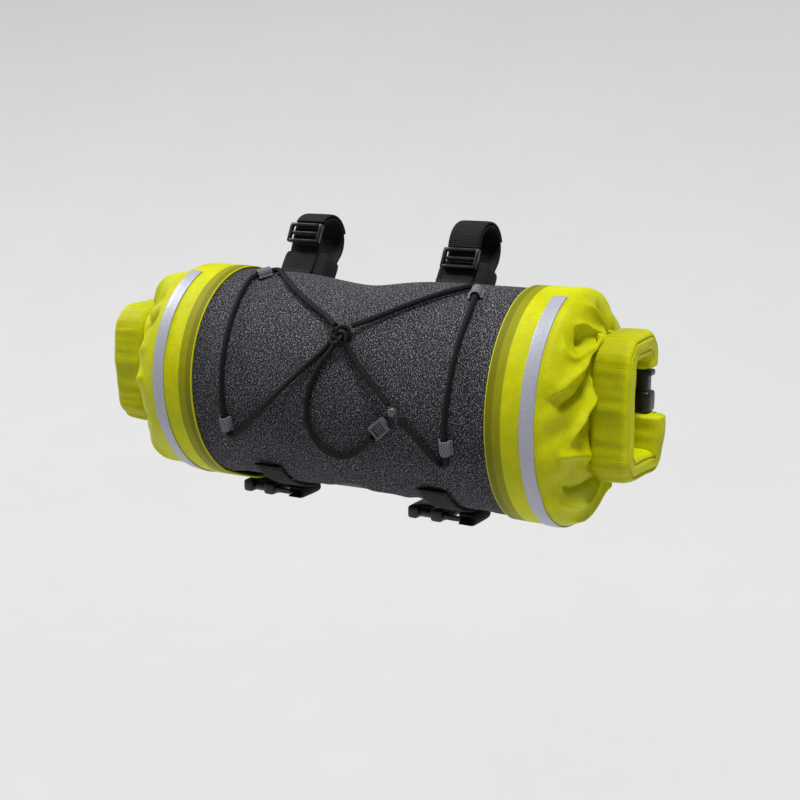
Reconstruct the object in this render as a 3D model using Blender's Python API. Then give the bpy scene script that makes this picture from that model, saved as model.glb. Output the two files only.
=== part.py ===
"""Handlebar bag: a soft roll with a rolled closure at each end, strapped under a handlebar.

Metres, +Z up. X runs along the handlebar, the front of the bag faces -Y, and the origin
is the handlebar's axis, midway between the two bar straps.
"""
import math

import bmesh
import bpy
import numpy as np
from mathutils import Matrix, Vector

# Driving sizes of the roll
ROLL_DEPTH = 0.142
ROLL_HEIGHT = 0.158
PANEL_LENGTH = 0.236
PANEL_MIDDLE = 0.027
CLOTH = 0.0015
WELD_OVERLAP = 0.012
GAP = 0.0003
SAG_DEPTH = 0.0065
SAG_PLACE = -0.018
SAG_REACH = 0.036
SAG_ANGLE = 92.0
SAG_SPREAD = 30.0

# Driving sizes of the two ends and their rolled closures
END_REACH = {"left": 0.086, "right": 0.051}
CLOSURE_WIDTH = 0.027
CLOSURE_THICK = 0.018
CLOSURE_HEIGHT = {"left": 0.076, "right": 0.081}
CLOSURE_DEPTH = 0.044
CLOSURE_BEND = 0.013
CLOSURE_AHEAD = 0.015
CLOSURE_RAISE = {"left": -0.001, "right": 0.004}
TIP_BELOW = 0.008
TIP_ABOVE = 0.022
MOUTH_THICK = 0.008
MOUTH_EDGE = 0.25
CLOSURE_CORNER = 0.35
CLOSURE_BUCKLE_WIDTH = 0.023
CLOSURE_BUCKLE_THICK = 0.0135
BULGE_EDGE = 0.82
FOLDS_FROM = 0.30
FOLDS_FULL = 0.47
STRIPE_WIDTH = 0.0097
STRIPE_FROM_SEAM = 0.0243
STRIPE_THICK = 0.0006
STRIPE_ANGLE = (-118.0, 72.0)

# Driving sizes of the bar mounting
BAR_DIAMETER = 0.0318
BAR_CLEARANCE = 0.0004
BAR_LEAN = math.radians(34.6)
STRAP_SPACING = 0.137
WEBBING_WIDTH = 0.025
WEBBING = 0.0022
SPACER_LENGTH = 0.040
SPACER_DEPTH = 0.024
SPACER_HEIGHT = 0.0233
LADDER_LOCK = (0.029, 0.0042, 0.0155)
LADDER_LOCK_SLOT = 0.0034
LADDER_LOCK_ANGLE = {"left": 20.0, "right": -17.0}
LADDER_LOCK_SLOT_PLACE = 0.0034
LADDER_LOCK_FRAME = 0.0020
TAIL_AFTER_LOCK = 0.0015
TAIL_END_ANGLE = 168.0
STRAP_LEAVES_BAR = 22.0
STRAP_FOOT = 0.009
STRAP_FOOT_RISE = 0.0055
STRAP_FOOT_BEND = 0.0066

# Driving sizes of the buckles below
TAB_WIDTH = 0.0225
TAB_TOP_ANGLE = -44.0
TAB_END_ANGLE = -104.0
BUCKLE_SOCKET = (0.028, 0.030, 0.0095)
BUCKLE_PLUG = (0.014, 0.0275, 0.0041)
BUCKLE_WINDOW = (0.009, 0.006, 0.004)
BUCKLE_WINDOW_PLACE = 0.0034
BUCKLE_SLOT = 0.0045
BUCKLE_SLOT_PLACE = 0.0031
BUCKLE_PLACE = {"left": -0.0945, "right": 0.0500}
TAB_PLACE = {"left": -0.0660, "right": 0.0690}
FOLD_LENGTH = 0.011
FOLD_START = 0.0017

# Driving sizes of the elastic lacing
CORD = 0.004
CORD_TAB = (0.012, 0.013, 0.001)
CORD_TAB_ROOM = 0.0006
CORD_TAB_STITCH = 0.0006
CORD_TAB_PLACE = {
    "top_left": (-0.0902, 76.3, 57.0),
    "bottom_left": (-0.0895, -17.0, 90.0),
    "top_right": (0.0868, 71.0, 106.0),
    "bottom_right": (0.0888, -14.0, 90.0),
}
KNOT_PLACE = (0.0040, 35.0)
KNOT_SIZE = 0.013
BEAD_PLACE = (0.0510, 0.5)
BEAD_SIZE = 0.0075
CORD_LOCK = (0.016, 0.013, 0.0065)
CORD_LOCK_PLACE = (0.0415, -8.0)
CORD_LOCK_TURN = math.radians(40.0)
CORD_LOCK_LIFT = 0.0006

# Sections of each end, from the seam out: share of the end's reach, share of the roll's
# size above and below, how far the round section is pinched to the flat mouth, and how
# far its front bulges out past that, as a share of the reach
END_SECTIONS = {
    "left": {
        "reach": (0.00, 0.16, 0.30, 0.42, 0.56, 0.72, 0.85, 0.92, 0.96, 0.985, 1.00),
        "above": (1.00, 1.002, 1.005, 1.00, 0.94, 0.88, 0.82, 0.76, 0.70, 0.66, 0.60),
        "below": (1.00, 1.002, 0.995, 0.98, 0.955, 0.93, 0.90, 0.86, 0.80, 0.74, 0.68),
        "pinch": (0.00, 0.00, 0.00, 0.00, 0.00, 0.01, 0.05, 0.16, 0.38, 0.70, 1.00),
        "bulge": (0.00, 0.00, 0.00, 0.00, -0.04, -0.13, -0.20, -0.21, -0.16, -0.07, 0.00),
    },
    "right": {
        "reach": (0.00, 0.26, 0.45, 0.62, 0.76, 0.86, 0.91, 0.94, 0.965, 0.985, 1.00),
        "above": (1.00, 1.003, 1.005, 1.01, 1.00, 0.96, 0.90, 0.83, 0.76, 0.70, 0.64),
        "below": (1.00, 1.003, 1.00, 1.00, 0.97, 0.90, 0.84, 0.79, 0.74, 0.70, 0.66),
        "pinch": (0.00, 0.00, 0.00, 0.00, 0.01, 0.05, 0.13, 0.28, 0.50, 0.76, 1.00),
        "bulge": (0.00, 0.00, 0.00, 0.00, 0.00, 0.01, 0.03, 0.05, 0.06, 0.04, 0.00),
    },
}

# Dents and folds pressed into each end: place along the reach, angle round the roll,
# half length and half width as shares of the roll's height, slant in degrees from the
# roll's length, and depth as a share of the roll's height (a ridge is negative)
END_FOLDS = {
    "left": {
        "along": (0.93, 0.80, 0.90, 0.88, 0.70),
        "angle": (28.0, 62.0, -30.0, 2.0, 120.0),
        "length": (0.16, 0.20, 0.18, 0.14, 0.22),
        "width": (0.055, 0.07, 0.06, 0.05, 0.08),
        "slant": (70.0, 35.0, -60.0, 85.0, -30.0),
        "depth": (0.030, 0.028, 0.026, -0.020, 0.030),
    },
    "right": {
        "along": (0.98, 0.98, 0.84, 1.02, 0.86, 0.94),
        "angle": (46.0, 24.0, 16.0, 0.0, -33.0, 122.0),
        "length": (0.06, 0.17, 0.16, 0.13, 0.15, 0.20),
        "width": (0.045, 0.045, 0.05, 0.045, 0.05, 0.08),
        "slant": (40.0, 42.0, 40.0, 35.0, 22.0, -30.0),
        "depth": (0.042, -0.022, 0.034, 0.046, 0.036, 0.030),
    },
}

# The grey panel's free lower edge: place along the panel's half length, and its angle
PANEL_EDGE = {
    "along": (-1.12, -0.98, -0.75, -0.34, 0.00, 0.14, 0.29, 0.43, 0.62, 0.75, 1.12),
    "angle": (-70.0, -66.0, -58.0, -64.0, -55.0, -59.0, -66.0, -61.0, -68.0, -76.0, -78.0),
}
PANEL_BACK_ANGLE = 152.0
PANEL_UNDERLAP = 7.0
SEAM_LIP = 0.0006
UNDERSIDE_LIP = {"left": 0.016, "right": 0.002}
UNDERSIDE_LIP_ANGLE = (-62.0, -118.0)
UNDERSIDE_LIP_SLOPE = 14.0

# Routes of the elastic, chosen by hand: metres along the panel from its middle, degrees
# round the roll from its front, and the height of the cord's middle over the panel
ELASTIC_LEFT_ROUTE = (
    (-0.0020, 38.5, 0.0055), (-0.0140, 44.5, 0.0030), (-0.0350, 53.5, 0.0025),
    (-0.0560, 64.5, 0.0025), (-0.0700, 74.0, 0.0025), (-0.0780, 80.2, 0.0025),
    (-0.0818, 82.6, 0.0025), (-0.0845, 82.9, 0.0025), (-0.0863, 81.0, 0.0025),
    (-0.0882, 78.7, 0.0025), (-0.0902, 76.3, 0.0025), (-0.0922, 73.9, 0.0025),
    (-0.0940, 71.7, 0.0025), (-0.0950, 68.5, 0.0025), (-0.0944, 63.0, 0.0025),
    (-0.0922, 50.0, 0.0025), (-0.0908, 35.0, 0.0025), (-0.0898, 18.0, 0.0025),
    (-0.0895, 3.0, 0.0025), (-0.0895, -8.0, 0.0025), (-0.0895, -13.0, 0.0025),
    (-0.0895, -18.0, 0.0025), (-0.0895, -23.0, 0.0025), (-0.0877, -26.8, 0.0025),
    (-0.0835, -26.0, 0.0025), (-0.0770, -20.5, 0.0025), (-0.0600, -9.0, 0.0025),
    (-0.0400, 4.0, 0.0025), (-0.0220, 16.0, 0.0025), (-0.0090, 25.0, 0.0028),
    (-0.0026, 29.8, 0.0050),
)
ELASTIC_RIGHT_ROUTE = (
    (0.0105, 39.0, 0.0055), (0.0220, 45.0, 0.0030), (0.0400, 54.0, 0.0025),
    (0.0560, 63.0, 0.0025), (0.0690, 71.0, 0.0025), (0.0765, 76.2, 0.0025),
    (0.0805, 78.9, 0.0025), (0.0832, 79.2, 0.0025), (0.0847, 76.6, 0.0025),
    (0.0857, 73.9, 0.0025), (0.0868, 71.0, 0.0025), (0.0879, 68.1, 0.0025),
    (0.0890, 65.2, 0.0025), (0.0905, 59.5, 0.0025), (0.0918, 48.0, 0.0025),
    (0.0918, 34.0, 0.0025), (0.0914, 18.4, 0.0025), (0.0903, 4.5, 0.0025),
    (0.0890, -5.0, 0.0025), (0.0888, -10.5, 0.0025), (0.0888, -15.5, 0.0025),
    (0.0888, -20.5, 0.0025), (0.0868, -24.0, 0.0025), (0.0820, -23.0, 0.0025),
    (0.0745, -17.0, 0.0025), (0.0640, -8.5, 0.0025), (0.0558, -2.8, 0.0034),
)
ELASTIC_RETURN_ROUTE = (
    (0.0478, 3.6, 0.0034), (0.0400, 8.6, 0.0026), (0.0300, 15.0, 0.0025),
    (0.0200, 21.8, 0.0025), (0.0125, 27.4, 0.0032), (0.0095, 29.9, 0.0048),
)
HANGING_LOOP_ROUTE = (
    (0.0015, 28.6, 0.0052), (-0.0025, 24.8, 0.0038), (-0.0085, 19.0, 0.0026),
    (-0.0135, 11.0, 0.0025), (-0.0167, 3.0, 0.0025), (-0.0180, -5.0, 0.0025),
    (-0.0168, -13.0, 0.0025), (-0.0132, -20.0, 0.0025), (-0.0070, -25.0, 0.0025),
    (0.0010, -27.6, 0.0025), (0.0095, -27.2, 0.0025), (0.0175, -24.4, 0.0025),
    (0.0250, -20.0, 0.0026), (0.0305, -16.0, 0.0030), (0.0343, -13.2, 0.0034),
)

SEGMENTS = 40
SIDES = ("left", "right")
SIGN = {"left": -1.0, "right": 1.0}


# The roll's axis follows from the bar, the spacer and the roll's own size
def roll_reach(direction_y, direction_z):
    """Distance from the roll's axis to its ellipse along a unit direction."""
    across = direction_y / (ROLL_DEPTH / 2)
    upward = direction_z / (ROLL_HEIGHT / 2)
    return 1.0 / math.sqrt(across * across + upward * upward)


TO_ROLL = np.array((0.0, -math.sin(BAR_LEAN), -math.cos(BAR_LEAN)))
TO_FRONT = np.array((0.0, -math.cos(BAR_LEAN), math.sin(BAR_LEAN)))
SEAT_DISTANCE = BAR_DIAMETER / 2 + BAR_CLEARANCE
AXIS_DISTANCE = SEAT_DISTANCE + SPACER_HEIGHT + GAP + roll_reach(TO_ROLL[1], TO_ROLL[2])
ROLL_AXIS = np.array((PANEL_MIDDLE, 0.0, 0.0)) + TO_ROLL * AXIS_DISTANCE
BAR_ANGLE = 90.0 + math.degrees(math.atan2(
    math.sin(BAR_LEAN) / (ROLL_DEPTH / 2), math.cos(BAR_LEAN) / (ROLL_HEIGHT / 2)))


def roll_surface(along, angle, out=0.0):
    """Points on the roll: an ellipse round its axis, less the soft dip on its top."""
    along = np.asarray(along, dtype=float)
    angle = np.asarray(angle, dtype=float)
    turn = np.radians(angle)
    dip = SAG_DEPTH * np.exp(-((along - SAG_PLACE) / SAG_REACH) ** 2)
    dip = dip * np.exp(-((angle - SAG_ANGLE) / SAG_SPREAD) ** 2)
    y = -(ROLL_DEPTH / 2 + out - dip) * np.cos(turn)
    z = (ROLL_HEIGHT / 2 + out - dip) * np.sin(turn)
    return np.stack(np.broadcast_arrays(along, y, z), axis=-1) + ROLL_AXIS


def surface_frame(along, angle, out=0.0):
    """A place on the roll with its outward normal, its length and its upward direction."""
    place = roll_surface(along, angle, out)
    length = roll_surface(along + 0.001, angle, out) - roll_surface(along - 0.001, angle, out)
    upward = roll_surface(along, angle + 1.0, out) - roll_surface(along, angle - 1.0, out)
    length = length / np.linalg.norm(length)
    normal = np.cross(length, upward)
    normal = normal / np.linalg.norm(normal)
    return place, normal, length, np.cross(normal, length)


def smooth_rows(rows, shares):
    """Catmull-Rom curve through a column of numbers, read at shares of its rows."""
    rows = np.asarray(rows, dtype=float)
    padded = np.concatenate(([2 * rows[0] - rows[1]], rows, [2 * rows[-1] - rows[-2]]))
    place = np.clip(np.asarray(shares) * (len(rows) - 1), 0, len(rows) - 1 - 1e-9)
    index = place.astype(int)
    part = place - index
    a, b, c, d = (padded[index + step] for step in range(4))
    return b + 0.5 * part * (c - a + part * (2 * a - 5 * b + 4 * c - d
                                             + part * (3 * (b - c) + d - a)))


# Meshes and materials
def finish(name, mesh, material, smooth=True):
    """Link a mesh as a named object with its faces pointing out."""
    work = bmesh.new()
    work.from_mesh(mesh)
    bmesh.ops.recalc_face_normals(work, faces=work.faces)
    work.to_mesh(mesh)
    work.free()
    if smooth:
        mesh.shade_smooth()
        mesh.set_sharp_from_angle(angle=math.radians(40))
    mesh.materials.append(material)
    thing = bpy.data.objects.new(name, mesh)
    bpy.context.scene.collection.objects.link(thing)
    return thing


def make_mesh(name, points, faces):
    mesh = bpy.data.meshes.new(name)
    mesh.from_pydata([tuple(point) for point in points], [], faces)
    return mesh


def shell(name, outer, inner, closed, material):
    """A wall between two grids of points, with its edges joined by narrow rims.

    The grids have shape (rows, columns, 3); a closed wall joins its last column to its
    first, and then the inner grid may have fewer rows.
    """
    columns = outer.shape[1]
    steps = columns if closed else columns - 1
    base = outer.shape[0] * columns
    faces = []
    for start, rows in ((0, outer.shape[0]), (base, inner.shape[0])):
        for row in range(rows - 1):
            for column in range(steps):
                a = start + row * columns + column
                b = start + row * columns + (column + 1) % columns
                faces.append((a, b, b + columns, a + columns))
    last_outer = (outer.shape[0] - 1) * columns
    last_inner = base + (inner.shape[0] - 1) * columns
    for column in range(steps):
        after = (column + 1) % columns
        faces.append((column, after, base + after, base + column))
        faces.append((last_outer + column, last_outer + after,
                      last_inner + after, last_inner + column))
    if not closed:
        for row in range(outer.shape[0] - 1):
            for column in (0, columns - 1):
                a = row * columns + column
                faces.append((a, a + columns, base + a + columns, base + a))
    points = np.concatenate((outer.reshape(-1, 3), inner.reshape(-1, 3)))
    return finish(name, make_mesh(name, points, faces), material)


def ribbon(name, path, across, width, thick, material):
    """A flat strap: a line of points thickened to both sides and widened along a direction."""
    path = np.asarray(path, dtype=float)
    across = np.asarray(across, dtype=float)
    tangent = np.gradient(path, axis=0)
    normal = np.cross(tangent, across)
    normal = normal / np.linalg.norm(normal, axis=1)[:, None]
    sides = np.stack([path - across * width / 2, path + across * width / 2], axis=1)
    half = normal[:, None, :] * thick / 2
    return shell(name, sides + half, sides - half, False, material)


def block(name, size, place, axes, bevel, material, cuts=()):
    """A bevelled box on its own three axes, less boxes given by their size and centre."""
    matrix = Matrix([[*row, 0.0] for row in np.stack(axes, axis=1)] + [[0, 0, 0, 1]])
    matrix.translation = Vector(place)

    def cube(label, dimensions, centre):
        mesh = bpy.data.meshes.new(label)
        work = bmesh.new()
        bmesh.ops.create_cube(work, size=1.0)
        bmesh.ops.scale(work, vec=Vector(dimensions), verts=work.verts)
        bmesh.ops.translate(work, vec=Vector(centre), verts=work.verts)
        if label == name and bevel > 0:
            bmesh.ops.bevel(work, geom=list(work.edges), offset=bevel, segments=1,
                            profile=0.5, affect="EDGES", clamp_overlap=True)
        work.to_mesh(mesh)
        work.free()
        return mesh

    thing = finish(name, cube(name, size, (0, 0, 0)), material)
    thing.matrix_world = matrix
    for number, (dimensions, centre) in enumerate(cuts):
        cutter = bpy.data.objects.new(f"{name}_cut_{number}", cube("cut", dimensions, centre))
        bpy.context.scene.collection.objects.link(cutter)
        cutter.matrix_world = matrix
        cutter.hide_render = True
        cutter.display_type = "WIRE"
        cut = thing.modifiers.new(f"cut {number}", "BOOLEAN")
        cut.operation = "DIFFERENCE"
        cut.solver = "EXACT"
        cut.object = cutter
    return thing


def ball(name, size, place, material):
    mesh = bpy.data.meshes.new(name)
    work = bmesh.new()
    bmesh.ops.create_uvsphere(work, u_segments=12, v_segments=8, radius=0.5)
    bmesh.ops.scale(work, vec=Vector(size), verts=work.verts)
    bmesh.ops.translate(work, vec=Vector(place), verts=work.verts)
    work.to_mesh(mesh)
    work.free()
    return finish(name, mesh, material)


def cord(name, route, diameter, material):
    """A round cord along a smooth curve through its route on the roll's surface."""
    table = np.array(route)
    fine = np.linspace(0, 1, 400)
    along, angle, lift = (smooth_rows(table[:, column], fine) for column in range(3))
    line = roll_surface(along, angle, lift)
    travelled = np.concatenate(([0], np.cumsum(np.linalg.norm(np.diff(line, axis=0), axis=1))))
    count = int(travelled[-1] / (2.3 * diameter)) + 2
    stops = np.linspace(0, travelled[-1], count)
    points = np.stack([np.interp(stops, travelled, line[:, axis]) for axis in range(3)], axis=1)
    curve = bpy.data.curves.new(name, "CURVE")
    curve.dimensions = "3D"
    curve.bevel_depth = diameter / 2
    curve.bevel_resolution = 2
    curve.use_fill_caps = True
    spline = curve.splines.new("POLY")
    spline.points.add(count - 1)
    for point, place in zip(spline.points, points):
        point.co = (*place, 1.0)
    curve.materials.append(material)
    thing = bpy.data.objects.new(name, curve)
    bpy.context.scene.collection.objects.link(thing)
    return thing


def material(name, colour, roughness):
    paint = bpy.data.materials.new(name)
    paint.use_nodes = True
    shader = paint.node_tree.nodes["Principled BSDF"]
    shader.inputs["Base Color"].default_value = (*colour, 1.0)
    shader.inputs["Roughness"].default_value = roughness
    return paint


# The grey front panel, which wraps over the top, and the black panel of the underside
def panel_edge(along):
    """Angle of the grey panel's free lower edge at a place along the panel."""
    share = np.asarray(PANEL_EDGE["along"]) * PANEL_LENGTH / 2
    return np.interp(along, share, PANEL_EDGE["angle"])


def panel_stations(count):
    half = PANEL_LENGTH / 2 + WELD_OVERLAP
    return np.linspace(-half, half, count)


def front_panel(cloth):
    stations = panel_stations(12)
    share = np.linspace(0, 1, 24)
    low = panel_edge(stations)[:, None]
    angle = low + (PANEL_BACK_ANGLE - low) * share[None, :]
    along = np.broadcast_to(stations[:, None], angle.shape)
    shell("front_panel", roll_surface(along, angle), roll_surface(along, angle, -CLOTH),
          False, cloth)


def base_panel(cloth):
    stations = panel_stations(8)
    low = PANEL_BACK_ANGLE - PANEL_UNDERLAP
    high = (panel_edge(stations) + PANEL_UNDERLAP + 360.0)[:, None]
    angle = low + (high - low) * np.linspace(0, 1, 16)[None, :]
    along = np.broadcast_to(stations[:, None], angle.shape)
    inset = CLOTH + 2 * GAP
    shell("base_panel", roll_surface(along, angle, -inset),
          roll_surface(along, angle, -inset - CLOTH), False, cloth)


# The two yellow ends, from the weld over the panel's edge to the pinched mouth
def closure_line(side, share):
    """The closure's C-shaped middle line seen along the roll, and its outward normals.

    The line runs up the front, turns back at the top and down behind, and the same way
    round below. Its heading turns through two quarter bends, and the places are the
    running sum of the heading. A share of -1 is the lower tip and 1 is the upper one.
    """
    share = np.asarray(share, dtype=float)
    rise = CLOSURE_HEIGHT[side] / 2 - CLOSURE_BEND
    bend = CLOSURE_BEND * math.pi / 2
    level = CLOSURE_DEPTH - 2 * CLOSURE_BEND
    first = rise
    second = rise + bend + level
    fall_above = rise - TIP_ABOVE
    fall_below = rise - TIP_BELOW
    total = np.where(share < 0, second + bend + fall_below, second + bend + fall_above)
    walked = np.abs(share) * total
    fine = np.linspace(0, second + bend + max(fall_above, fall_below), 800)
    heading = (np.clip((fine - first) / bend, 0, 1)
               + np.clip((fine - second) / bend, 0, 1)) * math.pi / 2
    step = fine[1]
    back = np.concatenate(([0], np.cumsum(np.sin((heading[1:] + heading[:-1]) / 2) * step)))
    rising = np.concatenate(([0], np.cumsum(np.cos((heading[1:] + heading[:-1]) / 2) * step)))
    half = np.where(share < 0, -1.0, 1.0)
    y = np.interp(walked, fine, back) - CLOSURE_AHEAD
    z = half * np.interp(walked, fine, rising) + CLOSURE_RAISE[side]
    turn = np.interp(walked, fine, heading)
    return y, z, -np.cos(turn), half * np.sin(turn)


def fold_depth(side, along, angle):
    """How far the dents and folds push the cloth in at a place on an end."""
    table = END_FOLDS[side]
    depth = np.zeros(np.broadcast(along, angle).shape)
    for row in range(len(table["along"])):
        length_off = along - table["along"][row] * END_REACH[side]
        around_off = np.radians(angle - table["angle"][row]) * ROLL_HEIGHT / 2
        slant = math.radians(table["slant"][row])
        forward = length_off * math.cos(slant) + around_off * math.sin(slant)
        sideways = around_off * math.cos(slant) - length_off * math.sin(slant)
        forward = forward / (table["length"][row] * ROLL_HEIGHT)
        sideways = sideways / (table["width"][row] * ROLL_HEIGHT)
        press = np.exp(-forward ** 2 - sideways ** 2)
        depth = depth + table["depth"][row] * ROLL_HEIGHT * press
    return depth


def end_surface(side, share, angle, inset):
    """Points of one end: the roll's ellipse blended into the flat C-shaped mouth."""
    table = END_SECTIONS[side]
    reach, above, below, pinch, bulge = (
        smooth_rows(table[name], share) for name in ("reach", "above", "below", "pinch", "bulge"))
    pinch = np.clip(pinch, 0, 1)
    turn = np.radians(angle)
    upper = (1 + np.sin(turn)) / 2
    girth = above * upper + below * (1 - upper)
    facing = np.cos(turn)
    narrow = np.clip((facing - BULGE_EDGE) / (1 - BULGE_EDGE), 0, 1)
    ahead = np.where(bulge > 0, narrow, np.clip(facing, 0, 1))
    setback = (inset + CLOTH) * np.minimum(1, 6 * pinch * (1 - pinch))
    along = (reach + bulge * ahead) * END_REACH[side] - setback
    folded = np.clip((share - FOLDS_FROM) / (FOLDS_FULL - FOLDS_FROM), 0, 1)
    press = fold_depth(side, along, angle) * folded * (1 - pinch)
    flare = GAP - inset - press
    y_round = -(ROLL_DEPTH / 2 * girth + flare) * facing
    z_round = (ROLL_HEIGHT / 2 * girth + flare) * np.sin(turn)
    spread = np.where(facing >= 0, angle, 180.0 - angle)
    spread = (spread + 180.0) % 360.0 - 180.0
    y_line, z_line, y_normal, z_normal = closure_line(side, spread / 90.0)
    half = (MOUTH_THICK / 2 - inset) * np.clip(facing / MOUTH_EDGE, -1, 1)
    y = y_round * (1 - pinch) + (y_line + y_normal * half) * pinch
    z = z_round * (1 - pinch) + (z_line + z_normal * half) * pinch
    x = SIGN[side] * (PANEL_LENGTH / 2 + along)
    return np.stack(np.broadcast_arrays(x, y, z), axis=-1) + ROLL_AXIS


def underside_share(angle):
    """1 under the roll, where an end reaches further in, and 0 elsewhere."""
    angle = (np.asarray(angle) + 180.0) % 360.0 - 180.0
    high, low = UNDERSIDE_LIP_ANGLE
    start = np.clip((angle - low) / UNDERSIDE_LIP_SLOPE, 0, 1)
    return start * np.clip((high - angle) / UNDERSIDE_LIP_SLOPE, 0, 1)


def end_shell(side, cloth):
    angle = -90.0 + 360.0 * (np.arange(SEGMENTS) / SEGMENTS)[None, :]
    walls = []
    for rows, inset in ((17, -CLOTH), (10, 0.0)):
        wall = end_surface(side, np.linspace(0, 1, rows)[:, None], angle, inset)
        seam = wall[:1].copy()
        lip = SEAM_LIP + UNDERSIDE_LIP[side] * underside_share(angle)
        seam[:, :, 0] -= SIGN[side] * lip
        walls.append(np.concatenate((seam, wall)))
    shell(f"end_{side}", walls[0], walls[1], True, cloth)


def stripe(side, tape):
    """The reflective tape round an end, from its top edge down and round below."""
    inner_edge = STRIPE_FROM_SEAM / END_REACH[side]
    outer_edge = (STRIPE_FROM_SEAM + STRIPE_WIDTH) / END_REACH[side]
    fine = np.linspace(0, 0.6, 200)
    reach = smooth_rows(END_SECTIONS[side]["reach"], fine)
    share = np.interp(np.linspace(inner_edge, outer_edge, 4), reach, fine)
    angle = np.linspace(*STRIPE_ANGLE, 24)
    grid_share = share[None, :]
    grid_angle = angle[:, None]
    outer = end_surface(side, grid_share, grid_angle, -CLOTH - GAP - STRIPE_THICK)
    inner = end_surface(side, grid_share, grid_angle, -CLOTH - GAP)
    shell(f"stripe_{side}", outer, inner, False, tape)


def closure(side, cloth):
    """The rolled-down top of an end, bent into a C and standing just off the mouth."""
    share = np.concatenate((np.linspace(-1, -0.34, 12), np.linspace(-0.1, 0.1, 3),
                            np.linspace(0.34, 1, 11)))
    y, z, y_normal, z_normal = closure_line(side, share)
    half_wide = CLOSURE_WIDTH / 2
    half_thick = CLOSURE_THICK / 2
    corner = CLOSURE_CORNER * half_thick
    profile = np.array((
        (-half_wide, -half_thick + corner), (-half_wide, half_thick - corner),
        (-half_wide + corner, half_thick), (half_wide - corner, half_thick),
        (half_wide, half_thick - corner), (half_wide, -half_thick + corner),
        (half_wide - corner, -half_thick), (-half_wide + corner, -half_thick)))
    middle = PANEL_LENGTH / 2 + END_REACH[side] + GAP + half_wide
    x = SIGN[side] * middle + profile[None, :, 0] + np.zeros((len(share), 1))
    y = y[:, None] + y_normal[:, None] * profile[None, :, 1]
    z = z[:, None] + z_normal[:, None] * profile[None, :, 1]
    points = (np.stack((x, y, z), axis=-1) + ROLL_AXIS).reshape(-1, 3)
    count = len(profile)
    faces = [tuple(range(count)), tuple(range(len(points) - count, len(points)))]
    for row in range(len(share) - 1):
        for column in range(count):
            a = row * count + column
            b = row * count + (column + 1) % count
            faces.append((a, b, b + count, a + count))
    finish(f"closure_{side}", make_mesh(f"closure_{side}", points, faces), cloth)


def closure_buckle(side, plastic):
    """The buckle that joins the two tips of a closure behind it."""
    y, z, _, _ = closure_line(side, np.array((-1.0, 1.0)))
    height = z[1] - z[0] - 2 * GAP
    place = np.array((SIGN[side] * (PANEL_LENGTH / 2 + END_REACH[side] + CLOSURE_WIDTH / 2),
                      y[0], (z[0] + z[1]) / 2)) + ROLL_AXIS
    block(f"closure_buckle_{side}", (CLOSURE_BUCKLE_WIDTH, CLOSURE_BUCKLE_THICK, height),
          place, np.eye(3), 0.0015, plastic)


# The bar mounting: spacer, strap round the bar, its folded-back tail and its ladder lock
def bar_point(front, down):
    """A point by its distance to the front of the bar's axis and towards the roll."""
    return TO_FRONT * front + TO_ROLL * down


def around_bar(radius, degrees):
    """A point round the bar; 0 degrees is straight ahead, 90 is straight up."""
    turn = math.radians(degrees)
    return np.array((0.0, -radius * math.cos(turn), radius * math.sin(turn)))


def spacer(side, foam):
    middle = SIGN[side] * STRAP_SPACING / 2
    x = middle + np.linspace(-0.5, 0.5, 5) * SPACER_LENGTH
    across = np.linspace(-0.5, 0.5, 6) * SPACER_DEPTH
    top = np.zeros((len(across), len(x), 3))
    for row, offset in enumerate(across):
        top[row] = bar_point(offset, SEAT_DISTANCE)
    top[:, :, 0] = x[None, :]
    around = across / roll_reach(TO_ROLL[1], TO_ROLL[2])
    angle = BAR_ANGLE - np.degrees(around)
    bottom = roll_surface((x - PANEL_MIDDLE)[None, :], angle[:, None], GAP)
    shell(f"spacer_{side}", top, bottom, False, foam)


def strap_line():
    """The strap's middle line across the bar: up before the spacer, over, and down behind."""
    line = SPACER_DEPTH / 2 + GAP + WEBBING / 2
    radius = SEAT_DISTANCE + WEBBING / 2
    start = math.degrees(BAR_LEAN) - STRAP_LEAVES_BAR
    arc = [around_bar(radius, start + step)
           for step in np.linspace(0, 180 + 2 * STRAP_LEAVES_BAR, 19)]
    deep = SEAT_DISTANCE + SPACER_HEIGHT - STRAP_FOOT_RISE
    shoulder = SEAT_DISTANCE + WEBBING
    before = [bar_point(line, deep), bar_point(line, shoulder)]
    behind = [bar_point(-line, shoulder), bar_point(-line, deep)]
    return np.array(before + arc + behind)


def strap_course():
    """The strap's line in fine steps: distance walked, points, and angle round the bar."""
    line = strap_line()
    travelled = np.concatenate(([0], np.cumsum(np.linalg.norm(np.diff(line, axis=0), axis=1))))
    fine = np.linspace(0, travelled[-1], 600)
    dense = np.stack([np.interp(fine, travelled, line[:, axis]) for axis in range(3)], axis=1)
    angle = np.degrees(np.unwrap(np.arctan2(dense[:, 2], -dense[:, 1])))
    return fine, dense, angle


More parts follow.
